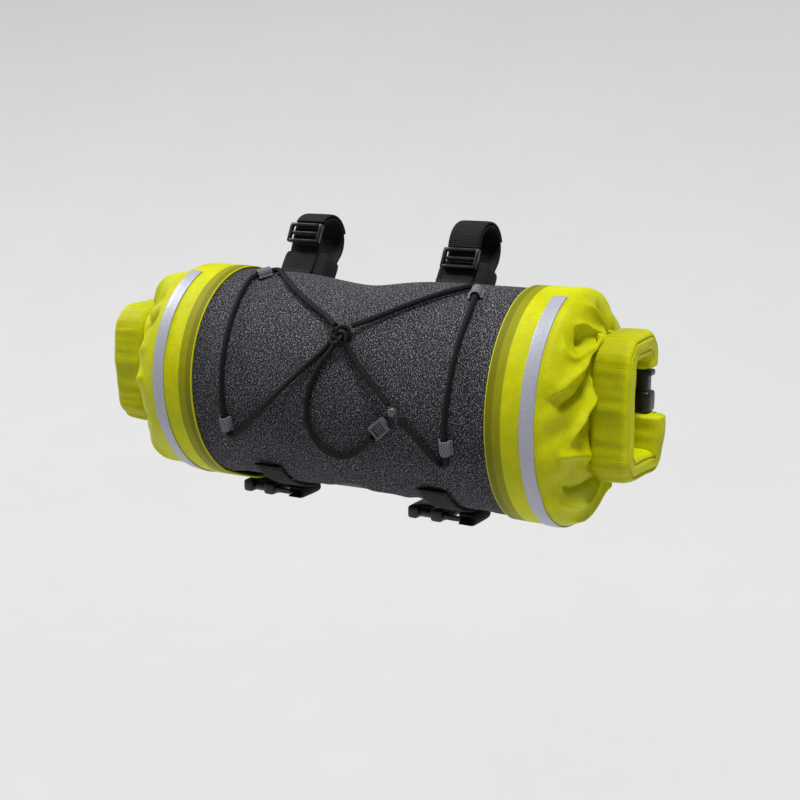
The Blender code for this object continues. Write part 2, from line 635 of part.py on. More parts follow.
def bar_strap(side, webbing):
    """One strap: a foot on the panel, up before the spacer, over the bar and down behind."""
    middle = SIGN[side] * STRAP_SPACING / 2
    x = middle + np.linspace(-0.5, 0.5, 3) * WEBBING_WIDTH
    risen = strap_line()
    lift = GAP + WEBBING / 2
    line = SPACER_DEPTH / 2 + GAP + WEBBING / 2
    reach = roll_reach(TO_ROLL[1], TO_ROLL[2])
    foot_start = math.degrees((line + STRAP_FOOT_BEND) / reach)
    foot_end = foot_start + math.degrees(STRAP_FOOT / reach)
    along = (x - PANEL_MIDDLE)[None, :]
    ahead = roll_surface(along, BAR_ANGLE - np.array((foot_end, foot_start))[:, None], lift)
    back = roll_surface(along, BAR_ANGLE + np.array((foot_start, foot_end))[:, None], lift)
    rows = np.repeat(risen[:, None, :], len(x), axis=1)
    rows[:, :, 0] = x[None, :]
    grid = np.concatenate((ahead, rows, back))
    tangent = np.gradient(grid[:, 1, :], axis=0)
    normal = np.cross(tangent, (1.0, 0.0, 0.0))
    normal = normal / np.linalg.norm(normal, axis=1)[:, None]
    half = normal[:, None, :] * WEBBING / 2
    shell(f"bar_strap_{side}", grid + half, grid - half, False, webbing)


def strap_tail(side, webbing):
    """The strap's free end, folded back over the loop from the ladder lock."""
    fine, dense, angle = strap_course()
    start = np.interp(LADDER_LOCK_ANGLE[side], angle, fine) + LADDER_LOCK[2] / 2 + TAIL_AFTER_LOCK
    stops = np.linspace(start, np.interp(TAIL_END_ANGLE, angle, fine), 14)
    points = np.stack([np.interp(stops, fine, dense[:, axis]) for axis in range(3)], axis=1)
    normal = np.cross(np.gradient(points, axis=0), (-1.0, 0.0, 0.0))
    normal = normal / np.linalg.norm(normal, axis=1)[:, None]
    path = points + normal * (WEBBING + GAP)
    path[:, 0] = SIGN[side] * STRAP_SPACING / 2
    ribbon(f"strap_tail_{side}", path, (1.0, 0.0, 0.0), WEBBING_WIDTH, WEBBING, webbing)


def ladder_lock(side, plastic):
    """The slotted buckle on the strap's front, pushed out until it just clears the strap."""
    width, thick, height = LADDER_LOCK
    fine, dense, angle = strap_course()
    centre = np.interp(LADDER_LOCK_ANGLE[side], angle, fine)
    stops = np.linspace(centre - height / 2, centre + height / 2, 24)
    points = np.stack([np.interp(stops, fine, dense[:, axis]) for axis in range(3)], axis=1)
    upward = points[-1] - points[0]
    upward = upward / np.linalg.norm(upward)
    outward = np.cross(upward, (-1.0, 0.0, 0.0))
    middle = (points[0] + points[-1]) / 2
    proud = np.max((points - middle) @ outward)
    place = middle + outward * (proud + WEBBING / 2 + GAP + thick / 2)
    place[0] = SIGN[side] * STRAP_SPACING / 2
    slot = (width - 2 * LADDER_LOCK_FRAME, 3 * thick, LADDER_LOCK_SLOT)
    cuts = [(slot, (0, 0, step * LADDER_LOCK_SLOT_PLACE)) for step in (1, -1)]
    block(f"ladder_lock_{side}", LADDER_LOCK, place,
          (np.array((1.0, 0.0, 0.0)), -outward, upward), 0.001, plastic, cuts)


# Below the roll: the sewn tabs and the side-release buckles with their strap ends
def underside_tab(side, webbing):
    angle = np.linspace(TAB_TOP_ANGLE, TAB_END_ANGLE, 12)
    x = TAB_PLACE[side] + np.linspace(-0.5, 0.5, 3) * TAB_WIDTH
    outer = roll_surface(x[None, :], angle[:, None], GAP + WEBBING)
    inner = roll_surface(x[None, :], angle[:, None], GAP)
    shell(f"underside_tab_{side}", outer, inner, False, webbing)


def buckle_level():
    """Height of the flat side of the buckles, just under the sewn tabs."""
    return ROLL_AXIS[2] - ROLL_HEIGHT / 2 - 2 * GAP - WEBBING


def underside_buckle(side, plastic, webbing):
    socket_long, socket_wide, socket_high = BUCKLE_SOCKET
    plug_long, plug_wide, plug_high = BUCKLE_PLUG
    start = ROLL_AXIS[0] + BUCKLE_PLACE[side] - (socket_long + GAP + plug_long) / 2
    level = buckle_level()
    cuts = [(BUCKLE_WINDOW, (BUCKLE_WINDOW_PLACE, edge * socket_wide / 2, 0))
            for edge in (-1, 1)]
    block(f"buckle_socket_{side}", BUCKLE_SOCKET,
          (start + socket_long / 2, ROLL_AXIS[1], level - socket_high / 2),
          np.eye(3), 0.0026, plastic, cuts)
    plug_start = start + socket_long + GAP
    slot = (BUCKLE_SLOT, WEBBING_WIDTH + 2 * GAP, 3 * plug_high)
    block(f"buckle_plug_{side}", BUCKLE_PLUG,
          (plug_start + plug_long / 2, ROLL_AXIS[1], level - socket_high / 2),
          np.eye(3), 0.0018, plastic, [(slot, (BUCKLE_SLOT_PLACE, 0, 0))])
    end = plug_start + plug_long
    lower = level - socket_high / 2
    turn = np.linspace(-90, 90, 7)
    loop = plug_high / 2 + GAP + WEBBING / 2
    path = [(end - FOLD_START, lower - loop)]
    for degrees in turn:
        path.append((end + FOLD_LENGTH - loop + loop * math.cos(math.radians(degrees)),
                     lower + loop * math.sin(math.radians(degrees))))
    path.append((end - FOLD_START, lower + loop))
    path = np.array([(x, ROLL_AXIS[1], z) for x, z in path])
    ribbon(f"strap_fold_{side}", path, (0.0, 1.0, 0.0), WEBBING_WIDTH, WEBBING, webbing)


# The elastic lacing on the front
def cord_tab(place_name, webbing):
    """A short tunnel of webbing, sewn down on both sides, that the elastic runs through."""
    along, angle, slant = CORD_TAB_PLACE[place_name]
    length, width, wall = CORD_TAB
    place, normal, lengthways, upward = surface_frame(along, angle)
    axis = (lengthways * math.cos(math.radians(slant))
            + upward * math.sin(math.radians(slant)))
    across = np.cross(axis, normal)
    radius = CORD / 2 + CORD_TAB_ROOM + wall / 2
    centre = CORD / 2 + CORD_TAB_ROOM
    foot = GAP + wall / 2
    section = [(-width / 2, foot), (-radius - CORD_TAB_STITCH, foot)]
    for degrees in np.linspace(195, -15, 8):
        turn = math.radians(degrees)
        section.append((radius * math.cos(turn), centre + radius * math.sin(turn)))
    section += [(radius + CORD_TAB_STITCH, foot), (width / 2, foot)]
    path = np.array([place + across * side + normal * up for side, up in section])
    ribbon(f"cord_tab_{place_name}", path, axis, length, wall, webbing)


def centre_knot(rubber):
    place, normal, _, _ = surface_frame(*KNOT_PLACE)
    radius = KNOT_SIZE / 2
    ball("centre_knot", (KNOT_SIZE, KNOT_SIZE, KNOT_SIZE), place + normal * (radius + GAP), rubber)


def bead(plastic):
    place, normal, _, _ = surface_frame(*BEAD_PLACE)
    ball("bead", (BEAD_SIZE, BEAD_SIZE, BEAD_SIZE), place + normal * (BEAD_SIZE / 2 + GAP), plastic)


def cord_lock(plastic):
    """The clip that holds the hanging loop's end, lying on the panel below the bead."""
    place, normal, lengthways, upward = surface_frame(*CORD_LOCK_PLACE)
    axis = lengthways * math.cos(CORD_LOCK_TURN) + upward * math.sin(CORD_LOCK_TURN)
    across = np.cross(normal, axis)
    centre = place + normal * (CORD_LOCK[2] / 2 + CORD_LOCK_LIFT)
    block("cord_lock", CORD_LOCK, centre, (axis, across, normal), 0.0012, plastic)


def build():
    for thing in list(bpy.data.objects):
        bpy.data.objects.remove(thing, do_unlink=True)
    grey = material("grey melange cloth", (0.075, 0.077, 0.085), 0.85)
    yellow = material("yellow-green coated cloth", (0.62, 0.72, 0.02), 0.45)
    black_cloth = material("black coated cloth", (0.015, 0.015, 0.017), 0.6)
    tape = material("silver reflective tape", (0.55, 0.56, 0.62), 0.35)
    webbing = material("black webbing", (0.012, 0.012, 0.014), 0.75)
    grey_webbing = material("grey webbing", (0.13, 0.14, 0.15), 0.7)
    plastic = material("black plastic", (0.014, 0.014, 0.016), 0.35)
    foam = material("black foam", (0.014, 0.014, 0.014), 0.9)
    elastic = material("black elastic cord", (0.012, 0.012, 0.013), 0.6)
    clear = material("grey translucent plastic", (0.18, 0.19, 0.20), 0.35)

    front_panel(grey)
    base_panel(black_cloth)
    for side in SIDES:
        end_shell(side, yellow)
        stripe(side, tape)
        closure(side, yellow)
        closure_buckle(side, plastic)
        spacer(side, foam)
        bar_strap(side, webbing)
        strap_tail(side, webbing)
        ladder_lock(side, plastic)
        underside_tab(side, webbing)
        underside_buckle(side, plastic, webbing)
    for place_name in CORD_TAB_PLACE:
        cord_tab(place_name, grey_webbing)
    cord("elastic_left", ELASTIC_LEFT_ROUTE, CORD, elastic)
    cord("elastic_right", ELASTIC_RIGHT_ROUTE, CORD, elastic)
    cord("elastic_return", ELASTIC_RETURN_ROUTE, CORD, elastic)
    cord("hanging_loop", HANGING_LOOP_ROUTE, CORD, elastic)
    centre_knot(elastic)
    bead(clear)
    cord_lock(clear)


build()
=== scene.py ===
# %% [markdown]
# # Handlebar bag: the looks
#
# A soft roll bag hangs under a bicycle's handlebar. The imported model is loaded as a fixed
# frame in metres: X runs along the handlebar, the front is at -Y and Z is up. This lesson
# makes every piece of cloth, webbing, cord and plastic over that frame.

# %% Load the frame
import math

import bmesh
import bpy
import numpy as np
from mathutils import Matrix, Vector


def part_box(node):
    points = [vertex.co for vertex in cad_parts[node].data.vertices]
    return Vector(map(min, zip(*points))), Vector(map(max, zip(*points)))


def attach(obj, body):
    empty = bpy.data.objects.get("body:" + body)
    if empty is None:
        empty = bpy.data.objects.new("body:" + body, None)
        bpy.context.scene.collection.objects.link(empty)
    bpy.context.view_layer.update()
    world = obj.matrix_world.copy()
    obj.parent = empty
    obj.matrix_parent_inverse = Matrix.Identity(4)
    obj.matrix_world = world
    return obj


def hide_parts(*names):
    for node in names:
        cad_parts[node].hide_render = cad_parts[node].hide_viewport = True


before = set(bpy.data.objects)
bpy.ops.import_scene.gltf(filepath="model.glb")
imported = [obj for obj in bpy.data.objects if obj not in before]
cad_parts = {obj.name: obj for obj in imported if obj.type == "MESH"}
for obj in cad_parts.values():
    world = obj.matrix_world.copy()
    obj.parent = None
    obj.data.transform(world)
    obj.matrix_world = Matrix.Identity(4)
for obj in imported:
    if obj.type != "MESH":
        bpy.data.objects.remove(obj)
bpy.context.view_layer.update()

# %% [markdown]
# ## Sizes
#
# The roll is an elliptical tube. Its axis hangs below the handlebar by the bar's radius,
# the foam spacer and the roll's own half height, along a line that leans back.

# %% Sizes of the roll
ROLL_DEPTH = 0.142
ROLL_HEIGHT = 0.158
PANEL_LENGTH = 0.236
PANEL_MIDDLE = 0.027
WELD_OVERLAP = 0.012
CLOTH = 0.0015
GAP = 0.0003
WEBBING = 0.0022
WEBBING_WIDTH = 0.025
SIDES = ("left", "right")
SIGN = {"left": -1.0, "right": 1.0}

BAR_DIAMETER = 0.0318
BAR_CLEARANCE = 0.0004
BAR_LEAN = math.radians(34.6)
SPACER_HEIGHT = 0.0233
TO_ROLL = np.array((0.0, -math.sin(BAR_LEAN), -math.cos(BAR_LEAN)))
TO_FRONT = np.array((0.0, -math.cos(BAR_LEAN), math.sin(BAR_LEAN)))
SEAT_DISTANCE = BAR_DIAMETER / 2 + BAR_CLEARANCE
ROLL_REACH = 1.0 / math.hypot(TO_ROLL[1] / (ROLL_DEPTH / 2), TO_ROLL[2] / (ROLL_HEIGHT / 2))
AXIS_DISTANCE = SEAT_DISTANCE + SPACER_HEIGHT + GAP + ROLL_REACH
ROLL_AXIS = np.array((PANEL_MIDDLE, 0.0, 0.0)) + TO_ROLL * AXIS_DISTANCE
BAR_ANGLE = 90.0 + math.degrees(math.atan2(
    math.sin(BAR_LEAN) / (ROLL_DEPTH / 2), math.cos(BAR_LEAN) / (ROLL_HEIGHT / 2)))
panel_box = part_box("front_panel")
print("roll axis", ROLL_AXIS.round(4), "panel front at", round(panel_box[0][1], 4),
      "against", round(ROLL_AXIS[1] - ROLL_DEPTH / 2, 4))

# %% [markdown]
# ## Camera
#
# The photograph was taken from 29 degrees round to the right and 12 degrees up, with the
# bag filling the frame. A camera that stands close shows the right end larger than the
# left one, as here.

# %% Camera
CAMERA_PLACE = ROLL_AXIS + (0.4895, -0.8392, 0.1970)
CAMERA_AIM = ROLL_AXIS + (0.0148, 0.0, -0.0087)
CAMERA_LENS = 61.45


def aim(thing, target):
    """Turn a camera or a lamp until its -Z axis points at a place."""
    direction = Vector(target) - thing.location
    thing.rotation_euler = direction.to_track_quat("-Z", "Y").to_euler()


lens = bpy.data.cameras.new("camera")
lens.lens = CAMERA_LENS
lens.sensor_width = 36.0
lens.clip_end = 50.0
camera = bpy.data.objects.new("camera", lens)
camera.location = CAMERA_PLACE
bpy.context.scene.collection.objects.link(camera)
aim(camera, CAMERA_AIM)
bpy.context.scene.camera = camera
print("camera", [round(value, 4) for value in camera.location])

# %% [markdown]
# ## Light
#
# A studio lights a bag with large soft boxes. Area lamps could stand for them, but they
# fade along the bag and leave bright patches on the paper. Two suns with wide discs light
# both evenly: one high on the right, and a lower one that draws the left end's folds. A
# dim white world keeps the shadows pale.

# %% Lamps and world


def soft_lamp(name, place, strength, spread):
    """A sun with a wide disc, so that it lights the bag and the backdrop evenly."""
    lamp = bpy.data.lights.new(name, "SUN")
    lamp.energy = strength
    lamp.angle = math.radians(spread)
    thing = bpy.data.objects.new(name, lamp)
    thing.location = place
    bpy.context.scene.collection.objects.link(thing)
    aim(thing, ROLL_AXIS)
    return thing


soft_lamp("right key", (0.34, -0.36, 1.50), 3.3, 14.0)
soft_lamp("left key", (-1.20, -0.06, 0.90), 1.8, 18.0)
world = bpy.data.worlds.new("studio")
world.use_nodes = True
world.node_tree.nodes["Background"].inputs["Color"].default_value = (1, 1, 1, 1)
world.node_tree.nodes["Background"].inputs["Strength"].default_value = 0.18
bpy.context.scene.world = world
bpy.context.scene.view_settings.view_transform = "Standard"

# %% [markdown]
# ## The roll's surface
#
# Cloth, cords and tabs all lie on the same ellipse, so one function gives a place on it.
# The arguments are metres along the panel from its middle and degrees round from the
# front. The roof of the roll sags a little between the straps.

# %% Surface of the roll
SAG_DEPTH = 0.0065
SAG_PLACE = -0.018
SAG_REACH = 0.036
SAG_ANGLE = 92.0
SAG_SPREAD = 30.0


def roll_surface(along, angle, out=0.0):
    """y = -(depth / 2 + out - dip) cos(angle), z = (height / 2 + out - dip) sin(angle)."""
    along = np.asarray(along, dtype=float)
    angle = np.asarray(angle, dtype=float)
    turn = np.radians(angle)
    dip = SAG_DEPTH * np.exp(-((along - SAG_PLACE) / SAG_REACH) ** 2)
    dip = dip * np.exp(-((angle - SAG_ANGLE) / SAG_SPREAD) ** 2)
    y = -(ROLL_DEPTH / 2 + out - dip) * np.cos(turn)
    z = (ROLL_HEIGHT / 2 + out - dip) * np.sin(turn)
    return np.stack(np.broadcast_arrays(along, y, z), axis=-1) + ROLL_AXIS


def unit(vectors):
    """Vectors of any grid, each divided by its length."""
    return vectors / np.linalg.norm(vectors, axis=-1, keepdims=True)


def surface_frame(along, angle):
    """A place on the roll with its outward normal, its length and its upward direction."""
    length = unit(roll_surface(along + 0.001, angle) - roll_surface(along - 0.001, angle))
    upward = roll_surface(along, angle + 1.0) - roll_surface(along, angle - 1.0)
    normal = unit(np.cross(length, upward))
    return roll_surface(along, angle), normal, length, np.cross(normal, length)


print("front of the roll", roll_surface(0.0, 0.0).round(4))

# %% [markdown]
# ## Curves and relief
#
# Short tables hold the measured shapes. A Catmull-Rom curve reads a column of numbers
# smoothly, a sum of sines gives the unevenness of real cloth, and an eased step fades a
# relief in and out. Straps, foam, rolled cloth and bead share one rounded section.

# %% Curve helpers


def smooth_rows(rows, shares):
    """Catmull-Rom curve through a column of numbers, read at shares of its rows."""
    rows = np.asarray(rows, dtype=float)
    padded = np.concatenate(([2 * rows[0] - rows[1]], rows, [2 * rows[-1] - rows[-2]]))
    place = np.clip(np.asarray(shares) * (len(rows) - 1), 0, len(rows) - 1 - 1e-9)
    index = place.astype(int)
    part = place - index
    a, b, c, d = (padded[index + step] for step in range(4))
    return b + 0.5 * part * (c - a + part * (2 * a - 5 * b + 4 * c - d
                                             + part * (3 * (b - c) + d - a)))


def eased(value, low, high):
    """3 t^2 - 2 t^3, where t goes from 0 at low to 1 at high and is held outside."""
    part = np.clip((value - low) / (high - low), 0, 1)
    return part * part * (3 - 2 * part)


def waves(share, count, seed):
    """A sum of five sines of uneven pitch and phase, near count to the whole, within 1."""
    draw = np.random.default_rng(seed)
    total = 0.0
    for step in range(5):
        pitch = count * (0.6 + 0.22 * step)
        total = total + np.sin(2 * math.pi * (pitch * share + draw.random())) / (1 + 0.4 * step)
    return total / 3.0


def run_along(path):
    """Distance walked along a line up to each of its points."""
    steps = np.linalg.norm(np.diff(path, axis=0), axis=-1)
    return np.concatenate(([0.0], np.cumsum(steps)))


def read_along(path, run, stops):
    """The places on a line at given distances along it."""
    return np.stack([np.interp(stops, run, path[:, axis]) for axis in range(3)], axis=1)


def resample(path, spacing):
    """The same line with its points an even distance apart."""
    run = run_along(path)
    return read_along(path, run, np.linspace(0, run[-1], max(int(run[-1] / spacing) + 1, 4)))


def soften(path, passes):
    """Each inner point moves to a quarter, a half and a quarter of its three neighbours."""
    for _ in range(passes):
        inner = path[:-2] / 4 + path[1:-1] / 2 + path[2:] / 4
        path = np.concatenate((path[:1], inner, path[-1:]))
    return path


def rounded_ring(columns, x_power, y_power):
    """x = |cos| ^ p and y = |sin| ^ q with their signs: powers under 1 fill the corners."""
    turn = np.linspace(0, 2 * math.pi, columns + 1)
    x, y = np.cos(turn), np.sin(turn)
    return np.sign(x) * np.abs(x) ** x_power, np.sign(y) * np.abs(y) ** y_power


print("a table read half way", smooth_rows((0.0, 1.0, 4.0), 0.5))

# %% [markdown]
# ## Grids into meshes
#
# Every new piece is a grid of points. The UV map holds metres of cloth, so a weave keeps
# its real pitch. A tube's last column is joined to its first, and its UV has one column
# more, which keeps a braid whole at the join.

# %% Mesh helpers


def grid_faces(rows, columns, wrap=False):
    """Quads between the neighbours of a grid, with the last column joined to the first."""
    index = np.arange(rows * columns).reshape(rows, columns)
    if wrap:
        index = np.concatenate((index, index[:, :1]), axis=1)
    quads = np.stack((index[:-1, :-1], index[:-1, 1:], index[1:, 1:], index[1:, :-1]), axis=-1)
    return quads.reshape(-1, 4)


def signed_volume(points, faces):
    """A sixth of the sum of triple products: positive where the faces point outwards."""
    a, b, c, d = (points[faces[:, corner]] for corner in range(4))
    triple = np.einsum("ij,ij->i", a, np.cross(b, c)) + np.einsum("ij,ij->i", a, np.cross(c, d))
    return triple.sum() / 6


def turned_over(faces, corner_uv):
    """The same quads seen from their other side, each corner with its own UV."""
    return faces[:, ::-1], corner_uv.reshape(-1, 4, 2)[:, ::-1].reshape(-1, 2)


def link_mesh(name, points, faces, corner_uv, material):
    """One smooth object from points, quads and a UV for each corner of each quad."""
    mesh = bpy.data.meshes.new(name)
    mesh.from_pydata(points.tolist(), [], faces.tolist())
    layer = mesh.uv_layers.new(name="cloth")
    layer.data.foreach_set("uv", corner_uv.astype(np.float32).ravel())
    mesh.materials.append(material)
    mesh.shade_smooth()
    thing = bpy.data.objects.new(name, mesh)
    bpy.context.scene.collection.objects.link(thing)
    return thing


def cloth_uv(points):
    """Metres walked along the middle row and the middle column, for each point."""
    rows, columns = points.shape[:2]
    u, v = run_along(points[rows // 2]), run_along(points[:, columns // 2])
    return np.stack(np.meshgrid(u, v), axis=-1).reshape(-1, 2)


def add_wall(piece, thick):
    """A Solidify modifier gives the cloth its thickness inwards."""
    wall = piece.modifiers.new("wall", "SOLIDIFY")
    wall.thickness = thick
    wall.offset = -1.0


def sheet_mesh(name, points, material, thick, facing=None):
    """A sheet over a grid, with its faces turned away from the roll's axis or to facing."""
    rows, columns = points.shape[:2]
    faces = grid_faces(rows, columns)
    uv = cloth_uv(points)[faces.ravel()]
    flat = points.reshape(-1, 3)
    a, b, c = (flat[faces[:, corner]] for corner in range(3))
    out = (a - ROLL_AXIS) * (0.0, 1.0, 1.0) if facing is None else np.asarray(facing, dtype=float)
    if np.sum(np.cross(b - a, c - a) * out) < 0:
        faces, uv = turned_over(faces, uv)
    thing = link_mesh(name, flat, faces, uv, material)
    add_wall(thing, thick)
    return thing


def closed_tube(name, points, uv, material, crease=50.0):
    """A grid closed round its columns; each end is filled by quads across its ring."""
    rows, columns = points.shape[:2]
    faces = grid_faces(rows, columns, True)
    corners = grid_faces(rows, columns + 1).ravel()
    step = np.arange(columns // 2 - 1)
    for row in (0, rows - 1):
        ring = np.stack((step, step + 1, columns - 2 - step, columns - 1 - step), axis=-1)
        ring = ring[:, ::-1] if row == 0 else ring
        faces = np.concatenate((faces, row * columns + ring))
        corners = np.concatenate((corners, (row * (columns + 1) + ring).ravel()))
    flat = points.reshape(-1, 3)
    corner_uv = uv.reshape(-1, 2)[corners]
    if signed_volume(flat - flat.mean(axis=0), faces) < 0:
        faces, corner_uv = turned_over(faces, corner_uv)
    thing = link_mesh(name, flat, faces, corner_uv, material)
    thing.data.set_sharp_from_angle(angle=math.radians(crease))
    return thing


def tube_mesh(name, path, radius, material, sides=14):
    """A round cord: circles of one radius carried along an evenly spaced line.

    Every cord runs along the roll, so the roll's outward direction keeps its rings upright.
    """
    path = resample(np.asarray(path, dtype=float), radius * 0.6)
    tangent = unit(np.gradient(path, axis=0))
    side = unit(np.cross(tangent, (path - ROLL_AXIS) * (0.0, 1.0, 1.0)))
    third = np.cross(tangent, side)
    turn = np.linspace(0, 2 * math.pi, sides + 1)
    ring = turn[None, :-1, None]
    points = path[:, None, :] + radius * (side[:, None, :] * np.cos(ring)
                                          + third[:, None, :] * np.sin(ring))
    run = run_along(path)[:, None]
    uv = np.stack(np.broadcast_arrays(turn[None, :] * radius, run), axis=-1)
    return closed_tube(name, points, uv, material)


def strap_mesh(name, path, across, width, thick, material, columns=28):
    """A strap with rounded edges: a flat section swept along a line of points.

    The section is |x / a| ^ 6 + |y / b| ^ 3 = 1, flat on its faces and round at its edges.
    """
    path = np.asarray(path, dtype=float)
    across = np.broadcast_to(np.asarray(across, dtype=float), path.shape)
    normal = unit(np.cross(np.gradient(path, axis=0), across))
    x, y = rounded_ring(columns, 1 / 3, 2 / 3)
    x, y = x * width / 2, y * thick / 2
    points = (path[:, None, :] + across[:, None, :] * x[None, :-1, None]
              + normal[:, None, :] * y[None, :-1, None])
    run = run_along(path)[:, None]
    uv = np.stack(np.broadcast_arrays(x[None, :] + width / 2, run), axis=-1)
    return closed_tube(name, points, uv, material)


def point_values(piece, name, values):
    """A float attribute with one value for each point, which a material reads."""
    layer = piece.data.attributes.new(name, "FLOAT", "POINT")
    layer.data.foreach_set("value", values.astype(np.float32).ravel())


def place_piece(piece, slot, *nodes):
    """The piece rides on the bag and stands for its solids, which are hidden. slot is not used."""
    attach(piece, "root")
    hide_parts(*nodes)
    return piece


print("quads of a 3 by 4 grid", len(grid_faces(3, 4)))

# %% [markdown]
# ## Writing materials
#
# Node trees are easier to read as sums than as boxes and wires. A small class adds one
# node for each call and gives its output. Effects that several materials share are node
# groups that put out only values: a plain weave, a ripstop grid, and an unevenness.

# %% Node helpers


class Tree:
    """Adds nodes to a tree and feeds their inputs with values or other outputs."""

    def __init__(self, tree):
        self.tree = tree

    def put(self, socket, value):
        if isinstance(value, bpy.types.NodeSocket):
            self.tree.links.new(value, socket)
        else:
            socket.default_value = value

    def node(self, kind, values=(), output=0, **settings):
        """values are (input, value) pairs; settings are the node's own properties."""
        made = self.tree.nodes.new(kind)
        for name, value in settings.items():
            setattr(made, name, value)
        for key, value in values:
            self.put(made.inputs[key], value)
        return made.outputs[output]

    def math(self, operation, *values):
        return self.node("ShaderNodeMath", list(enumerate(values)), operation=operation)

    def mix(self, factor, a, b):
        values = ((0, factor), (6, a), (7, b))
        return self.node("ShaderNodeMix", values, 2, data_type="RGBA")

    def ramp(self, value, low, high, to_low=0.0, to_high=1.0):
        """value from low..high to to_low..to_high, eased and held outside."""
        values = list(enumerate((value, low, high, to_low, to_high)))
        return self.node("ShaderNodeMapRange", values, interpolation_type="SMOOTHSTEP")

    def noise(self, vector, scale, detail=2.0, roughness=0.5):
        values = (("Vector", vector), ("Scale", scale), ("Detail", detail),
                  ("Roughness", roughness))
        return self.node("ShaderNodeTexNoise", values)

    def stretched(self, vector, scale):
        return self.node("ShaderNodeMapping", (("Vector", vector), ("Scale", scale)))

    def axes(self, vector):
        """The X and Y of a vector, as two outputs."""
        made = self.node("ShaderNodeSeparateXYZ", ((0, vector),)).node
        return made.outputs[0], made.outputs[1]

    def group(self, group, output, values):
        made = self.tree.nodes.new("ShaderNodeGroup")
        made.node_tree = group
        for key, value in values:
            self.put(made.inputs[key], value)
        return made.outputs[output]


def effect_group(name, numbers, results):
    """A group with a Vector input, named number inputs and named value outputs."""
    group = bpy.data.node_groups.new(name, "ShaderNodeTree")
    group.interface.new_socket("Vector", in_out="INPUT", socket_type="NodeSocketVector")
    for label, value in numbers:
        made = group.interface.new_socket(label, in_out="INPUT", socket_type="NodeSocketFloat")
        made.default_value = value
    for label in results:
        group.interface.new_socket(label, in_out="OUTPUT", socket_type="NodeSocketFloat")
    return group, Tree(group), group.nodes.new("NodeGroupInput"), group.nodes.new("NodeGroupOutput")


print("node helpers ready")

# %% Shared effects


def weave_group():
    """Plain weave: height = sin(u) sin(v), so threads go over and under in turn."""
    group, tree, start, end = effect_group("plain weave", (("Pitch", 0.0005),), ("Height",))
    u, v = tree.axes(start.outputs[0])
    turns = tree.math("DIVIDE", math.pi, start.outputs[1])
    warp = tree.math("SINE", tree.math("MULTIPLY", u, turns))
    weft = tree.math("SINE", tree.math("MULTIPLY", v, turns))
    tree.put(end.inputs[0], tree.math("MULTIPLY", warp, weft))
    return group


def ripstop_group():
    """Ripstop: 1 on the thicker threads that cross at a pitch, and 0 between them."""
    group, tree, start, end = effect_group(
        "ripstop grid", (("Pitch", 0.0016), ("Line", 0.2)), ("Mask",))
    lines = []
    for axis in tree.axes(start.outputs[0]):
        cell = tree.math("FRACT", tree.math("DIVIDE", axis, start.outputs[1]))
        off = tree.math("ABSOLUTE", tree.math("SUBTRACT", cell, 0.5))
        lines.append(tree.ramp(off, 0.0, start.outputs[2], 1.0, 0.0))
    tree.put(end.inputs[0], tree.math("MAXIMUM", *lines))
    return group


def unevenness_group():
    """Soft unevenness of two sizes in one value, from 0 to 1 with most of it near 0.5."""
    group, tree, start, end = effect_group("unevenness", (("Size", 0.02),), ("Value",))
    scale = tree.math("DIVIDE", 1.0, start.outputs[1])
    wide = tree.noise(start.outputs[0], scale, 3.0, 0.6)
    fine = tree.noise(start.outputs[0], tree.math("MULTIPLY", scale, 6.0), 2.0, 0.5)
    total = tree.math("ADD", tree.math("MULTIPLY", wide, 0.7), tree.math("MULTIPLY", fine, 0.3))
    tree.put(end.inputs[0], total)
    return group


WEAVE = weave_group()
RIPSTOP = ripstop_group()
UNEVEN = unevenness_group()


def new_material(name, roughness, specular=0.5):
    """A material with its tree, its shader, its UV in metres and its Object place."""
    paint = bpy.data.materials.new(name)
    paint.use_nodes = True
    tree = Tree(paint.node_tree)
    shader = paint.node_tree.nodes["Principled BSDF"]
    shader.inputs["Roughness"].default_value = roughness
    shader.inputs["Specular IOR Level"].default_value = specular
    uv = tree.node("ShaderNodeUVMap", uv_map="cloth")
    place = tree.node("ShaderNodeTexCoord", (), "Object")
    return paint, tree, shader, uv, place


def woven(tree, uv, pitch):
    return tree.group(WEAVE, 0, (("Vector", uv), ("Pitch", pitch)))


def unevenness(tree, place, size):
    return tree.group(UNEVEN, 0, (("Vector", place), ("Size", size)))


def bump(tree, shader, height, distance, strength=1.0):
    values = (("Strength", strength), ("Distance", distance), ("Height", height))
    tree.put(shader.inputs["Normal"], tree.node("ShaderNodeBump", values))


print("groups", [group.name for group in bpy.data.node_groups])

# %% [markdown]
# ## Grey melange cloth
#
# The front and the top are woven from mixed light and dark fibres. Noise stretched along
# the two thread directions makes short light flecks on a dark ground, about a millimetre
# long, and a broad unevenness keeps the cloth from looking printed.

# %% Grey melange cloth


